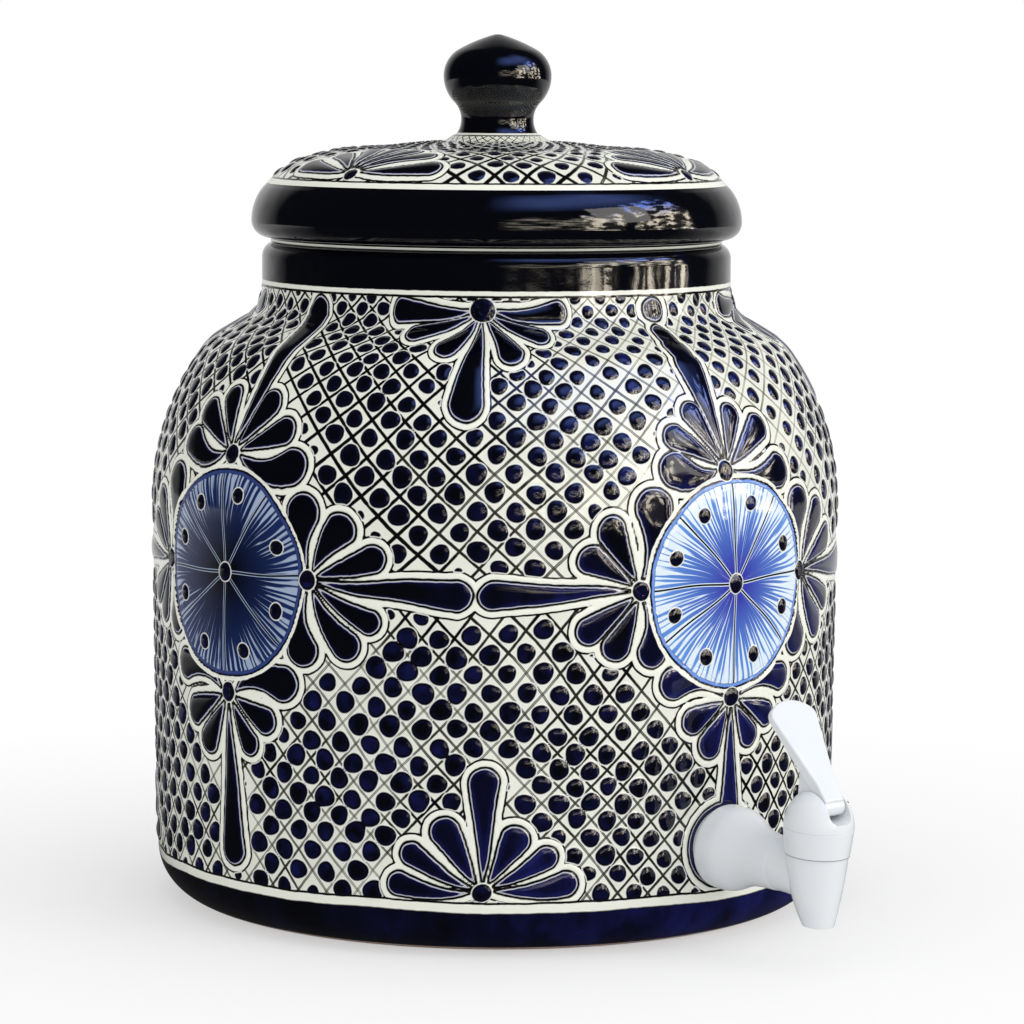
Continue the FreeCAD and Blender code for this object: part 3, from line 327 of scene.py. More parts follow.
def underside_outline():
    """From the centre of the lid's underside, down the locating ring and out to the seat."""
    ring_radius = COLLAR_BORE - LID_CLEARANCE
    ring_bore = ring_radius - LID_RING_THICKNESS
    ring_foot = RIM_HEIGHT - LID_RING_DEPTH
    inner_edge = LID_EDGE_RADIUS - LID_WALL
    inner_angle = math.degrees(math.acos((ring_bore - LID_EDGE_CENTRE[0]) / inner_edge))
    inner_crown = LID_CROWN_RADIUS - LID_WALL
    return joined(
        arc(CROWN_CENTRE, inner_crown, 90, DOME_MEET, 3.0),
        arc(LID_EDGE_CENTRE, inner_edge, DOME_MEET, inner_angle),
        lines(on_circle(LID_EDGE_CENTRE, inner_edge, inner_angle), (ring_bore, ring_foot),
              (ring_radius, ring_foot), (ring_radius, RIM_HEIGHT), (SEAT_RADIUS, RIM_HEIGHT),
              (SEAT_RADIUS, SEAT_LINE)))


# ---- putting arrays into meshes ----
def add_mesh(name, points, faces, material, fields=None, normals=None, chart=None):
    """A mesh of given points (mm) and faces, an array for each count of corners, shaded smooth."""
    mesh = bpy.data.meshes.new(name)
    corners = np.concatenate([block.ravel() for block in faces]).astype(np.int32)
    sizes = np.concatenate([np.full(len(block), block.shape[1]) for block in faces])
    starts = np.concatenate([[0], np.cumsum(sizes)[:-1]]).astype(np.int32)
    mesh.vertices.add(len(points))
    mesh.vertices.foreach_set("co", (points * MM).astype(np.float32).ravel())
    mesh.loops.add(len(corners))
    mesh.loops.foreach_set("vertex_index", corners)
    mesh.polygons.add(len(sizes))
    mesh.polygons.foreach_set("loop_start", starts)
    mesh.polygons.foreach_set("use_smooth", np.ones(len(sizes), dtype=bool))
    mesh.update(calc_edges=True)
    for key, values in (fields or {}).items():
        data = mesh.attributes.new(key, "FLOAT", "POINT").data
        data.foreach_set("value", values.astype(np.float32).ravel())
    if chart is not None:
        layer = mesh.uv_layers.new(name="OFBake")
        layer.uv.foreach_set("vector", chart[corners].astype(np.float32).ravel())
    if normals is not None:
        mesh.normals_split_custom_set_from_vertices(normals.tolist())
    mesh.materials.append(material)
    piece = bpy.data.objects.new(name, mesh)
    bpy.context.scene.collection.objects.link(piece)
    return piece


def grid_faces(rows, columns, closed=False):
    """Four-cornered faces of a grid of points kept row by row, wrapped round if it is closed."""
    index = np.arange(rows * columns).reshape(rows, columns)
    if closed:
        index = np.concatenate([index, index[:, :1]], axis=1)
    return np.stack(
        [index[:-1, :-1], index[:-1, 1:], index[1:, 1:], index[1:, :-1]], -1
    ).reshape(-1, 4)


def turned(name, outline, material, around=360):
    """Surface of an outline turned round the axis; the outside is on the right of the outline.

    Each point (r, z) becomes a ring: r times cosine and sine of the bearing, and z. A ring at
    the axis is one point, joined to its neighbour by triangles.
    """
    bearing = np.linspace(0, FULL_TURN, around, endpoint=False)
    on_axis = outline[:, 0] < TINY
    rings = outline[~on_axis]
    radius = rings[:, :1]
    points = np.stack([
        radius * np.cos(bearing), radius * np.sin(bearing),
        np.broadcast_to(rings[:, 1:], (len(rings), around)),
    ], -1).reshape(-1, 3)
    faces = [grid_faces(len(rings), around, closed=True)]
    ring = np.arange(around)
    for end, first in ((0, True), (-1, False)):
        if on_axis[end]:
            pole = len(points)
            points = np.concatenate([points, [[0, 0, outline[end, 1]]]])
            near = ring if first else ring + (len(rings) - 1) * around
            fan = np.stack([near, np.roll(near, -1), np.full(around, pole)], -1)
            faces.append(fan[:, ::-1] if first else fan)
    return add_mesh(name, points, faces, material)


# ---- the painter's hand ----
WAVES = 6
WAVE_SPREAD = 1.2           # the waves' counts are up to this share of the wanted one
WAVE_SUM = 2.5              # usual height of the sum of so many waves


def wander(across, up, seed, size, amount):
    """Smooth hand-drawn unevenness: a sum of waves of about a given size over the chart.

    Each wave is a sine whose count round the pot is whole, so that it closes on itself.
    """
    dice = np.random.default_rng(seed)
    total = 0
    around = FULL_TURN * BELLY_RADIUS / size
    for _ in range(WAVES):
        count = round(around * dice.uniform(-WAVE_SPREAD, WAVE_SPREAD))
        climb = dice.uniform(-WAVE_SPREAD, WAVE_SPREAD) * FULL_TURN / size
        total = total + np.sin(count * across / BELLY_RADIUS + climb * up + dice.uniform(0, 7))
    return total * amount / WAVE_SUM


def scatter(column, row, salt):
    """A repeatable number from 0 to 1 for each cell: the fraction of a large sine."""
    value = np.sin(column * 12.9898 + row * 78.233 + salt * 37.719) * 43758.5453
    return value - np.floor(value)


# ---- flowers: all sizes in mm on the chart ----
ROSETTE_RADIUS = 45.8
ROSETTE_RIM = 1.9           # cream edge outside a rosette
ROSETTE_DOT = 3.1
NODE_DOT = 3.9
COLLAR_DOT = 4.9            # at the node of a half flower under the collar
PETAL_ROOT = 0.5            # radius of a petal's pointed end
PETAL_START = 5.5           # a petal starts this far from its node
PETAL_GROWTH = 0.85         # power at which a petal widens
PETAL_SPANS = 8
CREAM_BAND = 3.1            # cream edge round a petal, up to the thin outer line
OUTER_LINE = 0.8
FAR = 9.0                   # stands for any greater distance to a petal or a dot
NOWHERE = 1e3               # stands for any distance to a rosette
COLLAR_LINE = 309.4         # length along the outline of the cream line under the collar
BASE_LINE = 37.3
TAP_RING = 18.5             # radius of the dark ring painted round the tap's flange
BELT = 171.2                # the upper and the lower lattice meet here, under the level petals

# A fan is (turn from its axis in degrees, reach to the middle of the tip, radius of the tip,
# sideways bend of its middle), turning to the left is positive.
EAST_FAN = [
    (94, 29.3, 8.6, 3), (55, 28.7, 7.2, 1), (21, 32.5, 6.2, 0), (-2, 67.6, 6.9, 0),
    (-27, 33.5, 5.6, 0), (-54, 31.5, 7.2, -1), (-95, 29.0, 8.0, -3),
]
NORTH_FAN_LEFT = [
    (-95, 37.0, 8.6, -4), (-67, 31.5, 6.5, 0), (-35, 28.4, 6.8, 0), (-5, 75.8, 8.8, -5),
    (25, 27.7, 6.1, 0), (58, 31.8, 7.2, 0), (86, 33.5, 7.2, 4),
]
SOUTH_FAN_LEFT = [
    (102, 34.2, 8.2, 4), (68, 26.3, 6.1, 0), (35, 25.0, 5.9, 0), (3, 68.9, 7.2, 0),
    (-31, 25.5, 6.4, 0), (-66, 26.5, 6.9, 0), (-105, 35.0, 7.2, -4),
]
WEST_FAN = [
    (-101, 35.2, 8.6, -4), (-63, 28.0, 6.9, 0), (-32, 25.9, 6.5, 0), (1, 63.2, 6.7, 0),
    (37, 27.7, 6.1, 0), (66, 25.9, 6.4, 0), (104, 27.0, 7.2, 3),
]
NORTH_FAN_RIGHT = [
    (88, 27.0, 8.2, 3), (58, 28.7, 6.2, 0), (26, 28.2, 6.1, 0), (3, 70.0, 6.0, 2),
    (4.5, 49.0, 7.8, 0), (4, 60.0, 7.0, 1), (-25, 26.0, 5.4, 0), (-57, 31.6, 6.2, 0),
    (-94, 34.7, 7.8, -3),
]
SOUTH_FAN_RIGHT = [
    (-105, 32.6, 7.2, -4), (-66, 23.0, 6.4, 0), (-30, 23.0, 6.4, 0), (0, 60.0, 6.4, 0),
    (32, 21.3, 5.7, 0), (66, 25.0, 5.9, 0), (100, 33.5, 6.5, 3),
]
COLLAR_FLOWER = [
    (-6, 52.7, 8.3, 0), (31, 31.5, 6.8, 1), (66, 35.9, 6.0, 0), (88.5, 46.5, 6.0, -1),
    (-39, 29.7, 6.6, 0), (-72, 41.6, 5.4, 0), (-89.5, 51.5, 6.0, 1),
]
BASE_FLOWER = [
    (-1, 46.6, 7.0, 0), (34, 29.5, 6.8, 0), (64, 34.2, 5.0, 1), (86, 36.3, 5.4, 2),
    (-32, 25.8, 6.4, 0), (-62, 30.4, 5.4, -1), (-85, 36.0, 5.6, -2),
]
EAST, NORTH, WEST, SOUTH = 0, 90, 180, 270

# A rosette is its bearing in degrees, its place along the outline, how light its blue is, and its
# four fans: (place of the node from the middle, axis, petals).
RIGHT_ROSETTE = (170.3, 1.0, [
    ((-4.6, 48.6), NORTH, NORTH_FAN_RIGHT), ((-49.8, -0.4), WEST, WEST_FAN),
    ((47.1, 1.1), EAST, EAST_FAN), ((-1.1, -49.4), SOUTH, SOUTH_FAN_RIGHT),
])
LEFT_ROSETTE = (171.4, 0.0, [
    ((1.1, 51.7), NORTH, NORTH_FAN_LEFT), ((48.3, 0.0), EAST, EAST_FAN),
    ((-49.0, 1.5), WEST, WEST_FAN), ((1.5, -52.1), SOUTH, SOUTH_FAN_LEFT),
])
ROSETTES = [
    (1.9, *RIGHT_ROSETTE), (91.9, *LEFT_ROSETTE), (181.9, *RIGHT_ROSETTE), (-88.1, *LEFT_ROSETTE),
]
FLOWER_BEARINGS = [-42.6, 47.4, 137.4, -132.6]
HALF_FLOWERS = [
    ((0.0, 302.8), SOUTH, COLLAR_FLOWER, COLLAR_DOT), ((3.6, 42.6), NORTH, BASE_FLOWER, NODE_DOT),
]
BULBS = [(-0.4, 302.4), (179.6, 302.4)]     # round ends of upright petals: bearing and place
BULB_RADIUS = 5.8
ROSETTE_DOT_TURNS = [121, 75, 24, -23, -69, -117, -159, 159]
ROSETTE_DOT_REACH = 34.8
ROSETTE_LINE_TURNS = [92, 54, 2, -40, -90, -147, 181, 136]
ROSETTE_STREAKS = 88

# The lid's half flowers stand on its rim and open to the middle; lengths from the rim up the dome.
LID_FLOWER = [
    (70, 37.5, 5.6, 2.5), (46, 31.0, 4.9, 0), (22, 31.5, 4.7, 0), (0, 31.0, 4.5, 0),
    (-22, 31.5, 4.7, 0), (-44, 33.5, 5.4, 0), (-70, 38.0, 6.0, -2.5),
]
LID_FLOWER_BEARINGS = [-79.6, 18.4, 104.0, 190.0]
LID_NODE_UP = 8.0
POT_HAND = (45, 0.5)        # size and amount of the hand's wander in the flowers
LID_HAND = (35, 0.4)
LID_RIM_LINE = 3.1


def along_chart(degrees):
    return math.radians(degrees) * BELLY_RADIUS


def chart_gap(across, middle):
    """Distance across the chart from a middle, the short way round the pot."""
    half = math.pi * BELLY_RADIUS
    return (across - middle + half) % (2 * half) - half


def direction(degrees):
    return np.array([cosine(degrees), sine(degrees)])


def petal_distance(across, up, turn, reach, tip, bend):
    """Distance to the edge of a petal from places round its node, negative inside it.

    The petal is what a circle covers that runs from its node out to the tip along a bent line
    and grows as a power of the way: over short spans, the distance to the nearest place
    on the span less the circle's radius there.
    """
    out, side = direction(turn), direction(turn + 90)
    share = np.linspace(0, 1, PETAL_SPANS + 1)
    first = PETAL_START / reach
    way = (first + (1 - first) * share)[:, None] * reach
    middle = way * out + (4 * bend * share * (1 - share))[:, None] * side
    radius = PETAL_ROOT + (tip - PETAL_ROOT) * share ** PETAL_GROWTH
    nearest = np.full(across.shape, NOWHERE)
    for a, b, r_a, r_b in zip(middle, middle[1:], radius, radius[1:]):
        span = b - a
        x, y = across - a[0], up - a[1]
        part = np.clip((x * span[0] + y * span[1]) / (span @ span), 0, 1)
        gap = np.hypot(x - part * span[0], y - part * span[1]) - (r_a + part * (r_b - r_a))
        nearest = np.minimum(nearest, gap)
    return nearest


def draw_fan(petal, x, y, axis, petals):
    """Lower a field to the distance to a fan's petals; x and y are measured from its node."""
    for turn, reach, tip, bend in petals:
        near = np.hypot(x, y) < reach + tip + FAR
        gap = petal_distance(x[near], y[near], axis + turn, reach, tip, bend)
        petal[near] = np.minimum(petal[near], gap)


def tap_gap(bearing, up):
    """Distance over the wall from the middle of the tap's hole."""
    middle = np.interp(TAP_HEIGHT, OUTSIDE[:, 1], OUTSIDE_LENGTH)
    return np.hypot(chart_gap(bearing * BELLY_RADIUS, 0.0), up - middle)


def draw_dot(field, x, y, radius):
    """Lower a field to the distance to a dot; x and y are measured from its middle."""
    np.minimum(field, np.hypot(x, y) - radius, out=field)


def pot_flowers(bearing, up):
    """Distances to the nearest petal and to the nearest painted dot of a flower, and the place in
    the nearest rosette: how far from its middle, its two coordinates there and its tone."""
    across = bearing * BELLY_RADIUS
    x_hand = across + wander(across, up, 3, *POT_HAND)
    y_hand = up + wander(across, up, 4, *POT_HAND)
    shrink = np.interp(up, OUTSIDE_LENGTH, OUTSIDE[:, 0]) / BELLY_RADIUS
    petal, dots, reach, rosette_x, rosette_y, tone = (
        np.full(bearing.shape, value) for value in (FAR, FAR, NOWHERE, 0.0, 0.0, 0.0))
    for turn, height, light, fans in ROSETTES:
        x, y = chart_gap(x_hand, along_chart(turn)), y_hand - height
        for node, axis, petals in fans:
            draw_fan(petal, x - node[0], y - node[1], axis, petals)
            draw_dot(dots, x - node[0], y - node[1], NODE_DOT)
        draw_dot(dots, x, y, NODE_DOT)
        for turn_to_dot in ROSETTE_DOT_TURNS:
            spot = direction(turn_to_dot) * ROSETTE_DOT_REACH
            draw_dot(dots, x - spot[0], y - spot[1], ROSETTE_DOT)
        near = np.hypot(x, y) < reach
        for field, value in ((reach, np.hypot(x, y)), (rosette_x, x), (rosette_y, y)):
            field[near] = value[near]
        tone[near] = light
    for turn in FLOWER_BEARINGS:
        for node, axis, petals, spot in HALF_FLOWERS:
            x, y = chart_gap(x_hand, along_chart(turn)) - node[0], y_hand - node[1]
            draw_fan(petal, x, y, axis, petals)
            draw_dot(dots, x * shrink, y, spot)
    for turn, height in BULBS:
        draw_dot(petal, chart_gap(x_hand, along_chart(turn)) * shrink, y_hand - height, BULB_RADIUS)
    np.minimum(petal, tap_gap(bearing, up) - TAP_RING, out=petal)
    return petal, dots, reach, rosette_x, rosette_y, tone


def lid_chart(bearing, up):
    """Plan of the lid's dome that keeps lengths from the middle out: (x, y) in mm."""
    out = LID_MIDDLE - up
    return out * np.sin(bearing), -out * np.cos(bearing)


def lid_flowers(bearing, up):
    """Distances over the lid to the nearest petal and to the nearest flower's own dot."""
    x, y = lid_chart(bearing, up)
    x = x + wander(x, y, 5, *LID_HAND)
    y = y + wander(x, y, 6, *LID_HAND)
    petal, dots = np.full(bearing.shape, FAR), np.full(bearing.shape, FAR)
    for turn in LID_FLOWER_BEARINGS:
        node = lid_chart(math.radians(turn), LID_NODE_UP)
        draw_fan(petal, x - node[0], y - node[1], turn + 90, LID_FLOWER)
        draw_dot(dots, x - node[0], y - node[1], ROSETTE_DOT)
    return petal, dots


# ---- lattice of lines with a dot in each cell ----
DOT_CUT = 2.0               # a dot may run this far under a painted edge
SMALLEST_DOT = 1 / 16       # of its cell's width; a smaller one is left out
DOT_SHIFT = 0.09            # a dot stands up to half this share of its cell off its middle
DOT_SIZES = (0.9, 0.2)      # the smallest share of its usual size, and how far it can be over that
DOT_SWELL = 0.05            # dots are larger by this share where the brush is loaded
DOT_CORNERS = (0.05, 0.04)  # how far two and three soft corners stand out, as shares of the size
LATTICE_HAND = (85, 0.13)
BRUSH_LOAD = math.radians(160)     # turns the bearings at which the lines and dots are heaviest
LID_BRUSH_LOAD = math.radians(80)


def shape_height(outline, length):
    """Height on a chart that keeps shapes: the sum of the steps over the radius there."""
    radius = outline[:, 0]
    step = np.diff(length) * 2 / (radius[1:] + radius[:-1])
    return np.concatenate([[0], np.cumsum(step)])


class Lattice:
    """Two families of crossing lines over a turned surface, with a dot in each cell.

    Line numbers are bearing over the cell's width plus or minus height over the cell's height,
    on the chart that keeps shapes, with a little wander of the hand. A cell's column is the sum
    of its two line numbers and its row is their difference.
    """

    def __init__(self, outline, length, cells, shape, dot, bearing, up, seed, room_at):
        self.length, self.height = length, shape_height(outline, length)
        self.radius = outline[:, 0]
        self.width = FULL_TURN / cells
        self.rise = self.width * shape
        self.dot = dot * math.sqrt(shape)
        self.columns, self.seed = 2 * cells, seed
        self.start = (math.radians(bearing), np.interp(up, length, self.height))
        low, high = 2 * (self.height[[0, -1]] - self.start[1]) / self.rise
        self.first_row = math.floor(low) - 3
        rows = np.arange(self.first_row, math.ceil(high) + 4)
        self.cells = self.fill_cells(*np.meshgrid(np.arange(2 * cells), rows, indexing="ij"), room_at)

    def hand(self, bearing, up):
        return [wander(bearing * BELLY_RADIUS, up, seed, *LATTICE_HAND)
                for seed in (self.seed, self.seed + 1)]

    def numbers(self, bearing, up):
        """Line numbers of both families; lines are at whole numbers and dots half way."""
        height = np.interp(up, self.length, self.height)
        turn = (bearing - self.start[0]) / self.width
        climb = (height - self.start[1]) / self.rise
        first, second = self.hand(bearing, up)
        return turn + climb + first + 0.5, turn - climb + second + 0.5

    def fill_cells(self, column, row, room_at):
        """Place, radius and turn of every cell's dot.

        A dot stands a little off the middle of its cell, by a repeatable chance, and it is
        smaller, or left out, where room_at leaves it little room.
        """
        bearing = self.start[0] + column / 2 * self.width
        climb = self.start[1] + row / 2 * self.rise
        up = np.interp(climb, self.height, self.length)
        first, second = self.hand(bearing, up)
        bearing = bearing - (first + second) / 2 * self.width
        up = np.interp(climb - (first - second) / 2 * self.rise, self.height, self.length)
        wide = np.interp(up, self.length, self.radius) * self.width
        bearing = bearing + (scatter(column, row, 1) - 0.5) * DOT_SHIFT * self.width
        up = up + (scatter(column, row, 2) - 0.5) * DOT_SHIFT * wide
        size = self.dot * wide * (DOT_SIZES[0] + DOT_SIZES[1] * scatter(column, row, 3))
        size = size * (1 + DOT_SWELL * np.cos(2 * bearing + BRUSH_LOAD))
        size = np.minimum(size, room_at(bearing, up) + DOT_CUT)
        size = np.where(size > SMALLEST_DOT * wide, size, -FAR)
        return np.stack([bearing, up, size, scatter(column, row, 4) * FULL_TURN])

    def dots(self, bearing, up):
        """Distance to the edge of the nearest dot, over the nine cells round each place; a dot is
        a circle with two or three soft corners."""
        first, second = self.numbers(bearing, up)
        local = np.interp(up, self.length, self.radius)
        nearest = np.full(bearing.shape, FAR)
        two, three = DOT_CORNERS
        for step_a, step_b in itertools.product((-1, 0, 1), repeat=2):
            a = np.floor(first).astype(int) + step_a
            b = np.floor(second).astype(int) + step_b
            row = np.clip(a - b - self.first_row, 0, self.cells.shape[2] - 1)
            dot_bearing, dot_up, size, turn = self.cells[:, (a + b) % self.columns, row]
            x = ((bearing - dot_bearing + math.pi) % FULL_TURN - math.pi) * local
            y = up - dot_up
            angle = np.arctan2(y, x)
            soft = 1 + two * np.cos(2 * angle + turn) + three * np.cos(3 * angle - 2 * turn)
            nearest = np.minimum(nearest, np.hypot(x, y) / soft - size)
        return nearest


# ---- relief of the fired glaze ----
def rounded(depth, width):
    """Height of a rounded edge, from 0 at the edge to 1 at a depth of width: a quarter circle."""
    part = np.clip(depth / width, 0, 1)
    return np.sqrt(1 - (1 - part) ** 2)


PETAL_RISE = (5.5, 1.1)     # how far in from its edge a petal is level, and its height there (mm)
CREAM_RISE = (1.0, 0.35)
CREAM_START = 0.4           # the cream edge rises from this far outside a petal
DISC_RISE = (2.0, 0.5)
DOT_RISE = (3.4, 0.9)
DISC_GROOVE = (3.0, 0.7, 0.25)     # a ring's distance in from the edge, half width and depth


def relief(petal, dots, reach):
    """How far the glaze stands out (mm): domed dots and petals, a lower cream edge round each
    petal, and a shallow dome with a groove over each rosette."""
    def rise(depth, width_and_height):
        return rounded(depth, width_and_height[0]) * width_and_height[1]

    edge = np.minimum(rise(petal - CREAM_START, CREAM_RISE), rise(CREAM_BAND - petal, CREAM_RISE))
    out = np.where(petal < 0, rise(-petal, PETAL_RISE), np.where(petal < CREAM_BAND, edge, 0))
    disc = ROSETTE_RADIUS - reach
    place, half_width, depth = DISC_GROOVE
    inner = rise(disc, DISC_RISE) - depth * np.exp(-((disc - place) / half_width) ** 2)
    return np.where(disc > 0, inner, out) + rise(-dots, DOT_RISE)


# ---- painted surfaces ----
PANELS = 8
PANEL_FOOT = 24.0
PANEL_TOP = 314.0
GRID = 0.85
LID_AROUND = 720
LID_GRID = 0.9
KNOB_LINE = DOME_LENGTH[-1] - 1.6      # the painting's inner edge, under the knob's foot
LID_DOTS_END = KNOB_LINE - 8.0
LID_DWINDLING = 0.1                     # room lost for each mm nearer to the knob
LID_DOT_MARGIN = 1.5                    # and the room that is lacking where they end
DOT_CLEARANCE = 0.1                     # a cut dot ends this far from a painted edge
LOWER_SWAY = -0.3                       # the brush's load on the lower lattice, to the upper's
SLOPE_REACH = 0.5                       # a slope is taken over this length to both sides
POT_EDGES = (BASE_LINE, COLLAR_LINE - 1.0)
LID_EDGES = (LID_RIM_LINE + 1.0, KNOB_LINE)
POT_PRESS, LID_PRESS = 0.62, 0.5        # how hard the brush presses, from 0 to 1
LEVEL_AT_TAP = 17.5                     # no relief nearer to the tap's middle than this
LEVEL_AT_RIM = 3.0                      # and none lower on the lid's dome


def raised(outline, length, bearing, up, out):
    """Points of a turned surface that stand out by some mm along the surface's normal."""
    def at(place):
        return np.interp(place, length, outline[:, 0]), np.interp(place, length, outline[:, 1])

    (radius, height), (r_low, z_low), (r_high, z_high) = (
        at(up + reach) for reach in (0.0, -SLOPE_REACH, SLOPE_REACH))
    size = np.maximum(np.hypot(r_high - r_low, z_high - z_low), TINY)
    radius = radius + out * (z_high - z_low) / size
    height = height - out * (r_high - r_low) / size
    return np.stack([radius * np.sin(bearing), -radius * np.cos(bearing), height], -1)


def grid_normals(points):
    """Normals of a grid of points: the cross product of its two directions, scaled to one."""
    across = np.gradient(points, axis=1)
    up = np.gradient(points, axis=0)
    normal = np.cross(across, up)
    return normal / np.maximum(np.linalg.norm(normal, axis=-1, keepdims=True), TINY ** 2)


def room_left(petal, reach, up, borders):
    """Room at a place between the painted edges: petals, rosettes and the two borders."""
    room = np.minimum(petal - CREAM_BAND - OUTER_LINE, reach - ROSETTE_RADIUS - ROSETTE_RIM)
    return np.minimum(room, np.minimum(up - borders[0], borders[1] - up))


def pot_dot_room(bearing, up):
    petal, _, reach, *_ = pot_flowers(bearing, up)
    return room_left(petal, reach, up, POT_EDGES)


def lid_dot_room(bearing, up):
    """Room for the middle of a dot on the lid: the dots dwindle towards the knob."""
    room = room_left(lid_flowers(bearing, up)[0], NOWHERE, up, LID_EDGES)
    return np.minimum(room, (LID_DOTS_END - up) * LID_DWINDLING - LID_DOT_MARGIN)


def cut_dots(dots, spots, room):
    """Distance to the nearest dot, with the lattice's dots cut off at the painted edges."""
    return np.minimum(dots, np.maximum(spots, DOT_CLEARANCE - room))


# Cells round, their height over their width, a dot's radius over a cell's mean side, a place of one
# dot (degrees and length), the seed of the hand, and the room for a dot.
UPPER_LATTICE = Lattice(OUTSIDE, OUTSIDE_LENGTH, 59, 0.99, 0.248, -48.5, 219.7, 11, pot_dot_room)
LOWER_LATTICE = Lattice(OUTSIDE, OUTSIDE_LENGTH, 67, 1.12, 0.264, -43.0, 120.0, 13, pot_dot_room)
LID_LATTICE = Lattice(DOME, DOME_LENGTH, 36, 1.2, 0.198, -36.4, 8.0, 15, lid_dot_room)


def pot_painting(bearing, up):
    """The pot's painted fields and its relief at bearings and places along the outline."""
    petal, dots, reach, rosette_x, rosette_y, tone = pot_flowers(bearing, up)
    upper = up > BELT
    above, below = UPPER_LATTICE.numbers(bearing, up), LOWER_LATTICE.numbers(bearing, up)
    spots = np.where(upper, UPPER_LATTICE.dots(bearing, up), LOWER_LATTICE.dots(bearing, up))
    dots = cut_dots(dots, spots, room_left(petal, reach, up, POT_EDGES))
    sway = np.cos(2 * bearing + BRUSH_LOAD) / 2
    level = np.minimum(up - BASE_LINE, COLLAR_LINE - up)
    level = np.minimum(level, tap_gap(bearing, up) - LEVEL_AT_TAP)
    out = relief(petal, dots, reach) * np.clip(level, 0, 1)
    return {
        "petal": petal, "dots": dots, "reach": reach, "rosette_x": rosette_x,
        "rosette_y": rosette_y, "tone": tone, "along": up,
        "line_a": np.where(upper, above[0], below[0]),
        "line_b": np.where(upper, above[1], below[1]),
        "press": POT_PRESS + np.where(upper, sway, LOWER_SWAY * sway),
    }, out


def lid_painting(bearing, up):
    """The lid's painted fields and its relief."""
    petal, dots = lid_flowers(bearing, up)
    first, second = LID_LATTICE.numbers(bearing, up)
    room = room_left(petal, NOWHERE, up, LID_EDGES)
    dots = cut_dots(dots, LID_LATTICE.dots(bearing, up), room)
    level = np.minimum(up - LEVEL_AT_RIM, KNOB_LINE - up)
    out = relief(petal, dots, NOWHERE) * np.clip(level, 0, 1)
    return {
        "petal": petal, "dots": dots, "along": up, "line_a": first, "line_b": second,
        "press": LID_PRESS + np.cos(bearing + LID_BRUSH_LOAD) / 2,
    }, out


def painted_grid(name, outline, length, turns, climbs, painting, chart, material, closed=False):
    """A grid of bearings by places along an outline, in relief, with its painted fields.

    The first and the last of the turns and of the climbs only lend their slope to the normals.
    """
    bearing, up = np.meshgrid(turns, climbs)
    fields, out = painting(bearing, up)
    points = raised(outline, length, bearing, up, out)
    normals = grid_normals(points)
    inner = (slice(1, -1), slice(1, -1))
    return add_mesh(
        name, points[inner].reshape(-1, 3), [grid_faces(len(climbs) - 2, len(turns) - 2, closed)],
        material, {key: value[inner].ravel() for key, value in fields.items()},
        normals[inner].reshape(-1, 3), chart(bearing, up)[inner].reshape(-1, 2),
    )


def pot_panel(number, material):
    """One eighth of the painted outside of the pot."""
    half = math.pi / PANELS
    columns = round(2 * half * BELLY_RADIUS / GRID) + 1
    rows = round((PANEL_TOP - PANEL_FOOT) / GRID) + 1
    step = 2 * half / (columns - 1)
    rise = (PANEL_TOP - PANEL_FOOT) / (rows - 1)
    start = (2 * number - 1) * half

    def chart(bearing, up):
        return np.stack([
            (bearing - start) / (2 * half), (up - PANEL_FOOT) / (PANEL_TOP - PANEL_FOOT)], -1)

    return painted_grid(
        f"pot_side_{number + 1}", OUTSIDE, OUTSIDE_LENGTH, start + np.arange(-1, columns + 1) * step,
        PANEL_FOOT + np.arange(-1, rows + 1) * rise, pot_painting, chart, material,
    )


def lid_top(material):
    """The painted dome of the lid, from the rim up to the knob."""
    rows = round(DOME_LENGTH[-1] / LID_GRID) + 1
    climbs = np.arange(-1, rows + 1) * DOME_LENGTH[-1] / (rows - 1)
    turns = np.arange(-1, LID_AROUND + 1) * FULL_TURN / LID_AROUND

    def chart(bearing, up):
        return np.stack(lid_chart(bearing, up), -1) / (2 * LID_MIDDLE + 2) + 0.5

    return painted_grid(
        "lid_dome", DOME, DOME_LENGTH, turns, climbs, lid_painting, chart, material, closed=True
    )


# ---- finishes ----
def colour(red, green, blue):
    """Linear colour of a paint named by its usual 0 to 255 numbers."""
    value = np.array([red, green, blue]) / 255
    linear = np.where(value <= 0.04045, value / 12.92, ((value + 0.055) / 1.055) ** 2.4)
    return (*linear.tolist(), 1.0)


CREAM = colour(238, 239, 228)
CREAM_SHADE = colour(220, 222, 210)
NAVY = colour(9, 10, 36)
NAVY_DEEP = colour(4, 5, 11)
NAVY_THIN = colour(26, 30, 92)
INK = colour(9, 9, 11)
INK_THIN = colour(72, 72, 62)
PALE_LINE = colour(188, 190, 196)
WHITE = colour(229, 232, 235)
WHITE_SHADE = colour(222, 226, 230)
SEAM_SHADE = colour(158, 160, 166)
CLAY = colour(214, 190, 176)
CLAY_SHADE = colour(196, 168, 152)
STEEL = colour(196, 198, 202)
STEEL_SHADE = colour(168, 170, 176)
SILICONE = colour(206, 208, 204)
SILICONE_SHADE = colour(192, 196, 194)
RUBBER = colour(218, 218, 213)
RUBBER_SHADE = colour(208, 208, 203)
RING_LINE = colour(30, 42, 96)
PAINTED_LIGHT_SIDE = (0.9, -0.8, -0.9)      # painted light: the cobalt is bluer this way, per metre, to the lit side on the camera's right, and low down
DISC_EDGE = (47.6, 47.3)           # from here in, a rosette covers what is under it (mm)
COLLAR_NAVY = (311.4, 311.6)       # plain navy starts here at the top and at the foot
BASE_NAVY = (32.7, 32.4)
FLOWER_EDGE = (4.05, 3.75)         # outer edge of a petal's cream band and line
LINE_WIDTHS = (0.34, 0.78)         # half widths of a lattice line, pressed least and most
PETAL_SHAKE, DOT_SHAKE, BORDER_SHAKE = 0.7, 0.5, 0.5   # how far the hand shakes the edges (mm)
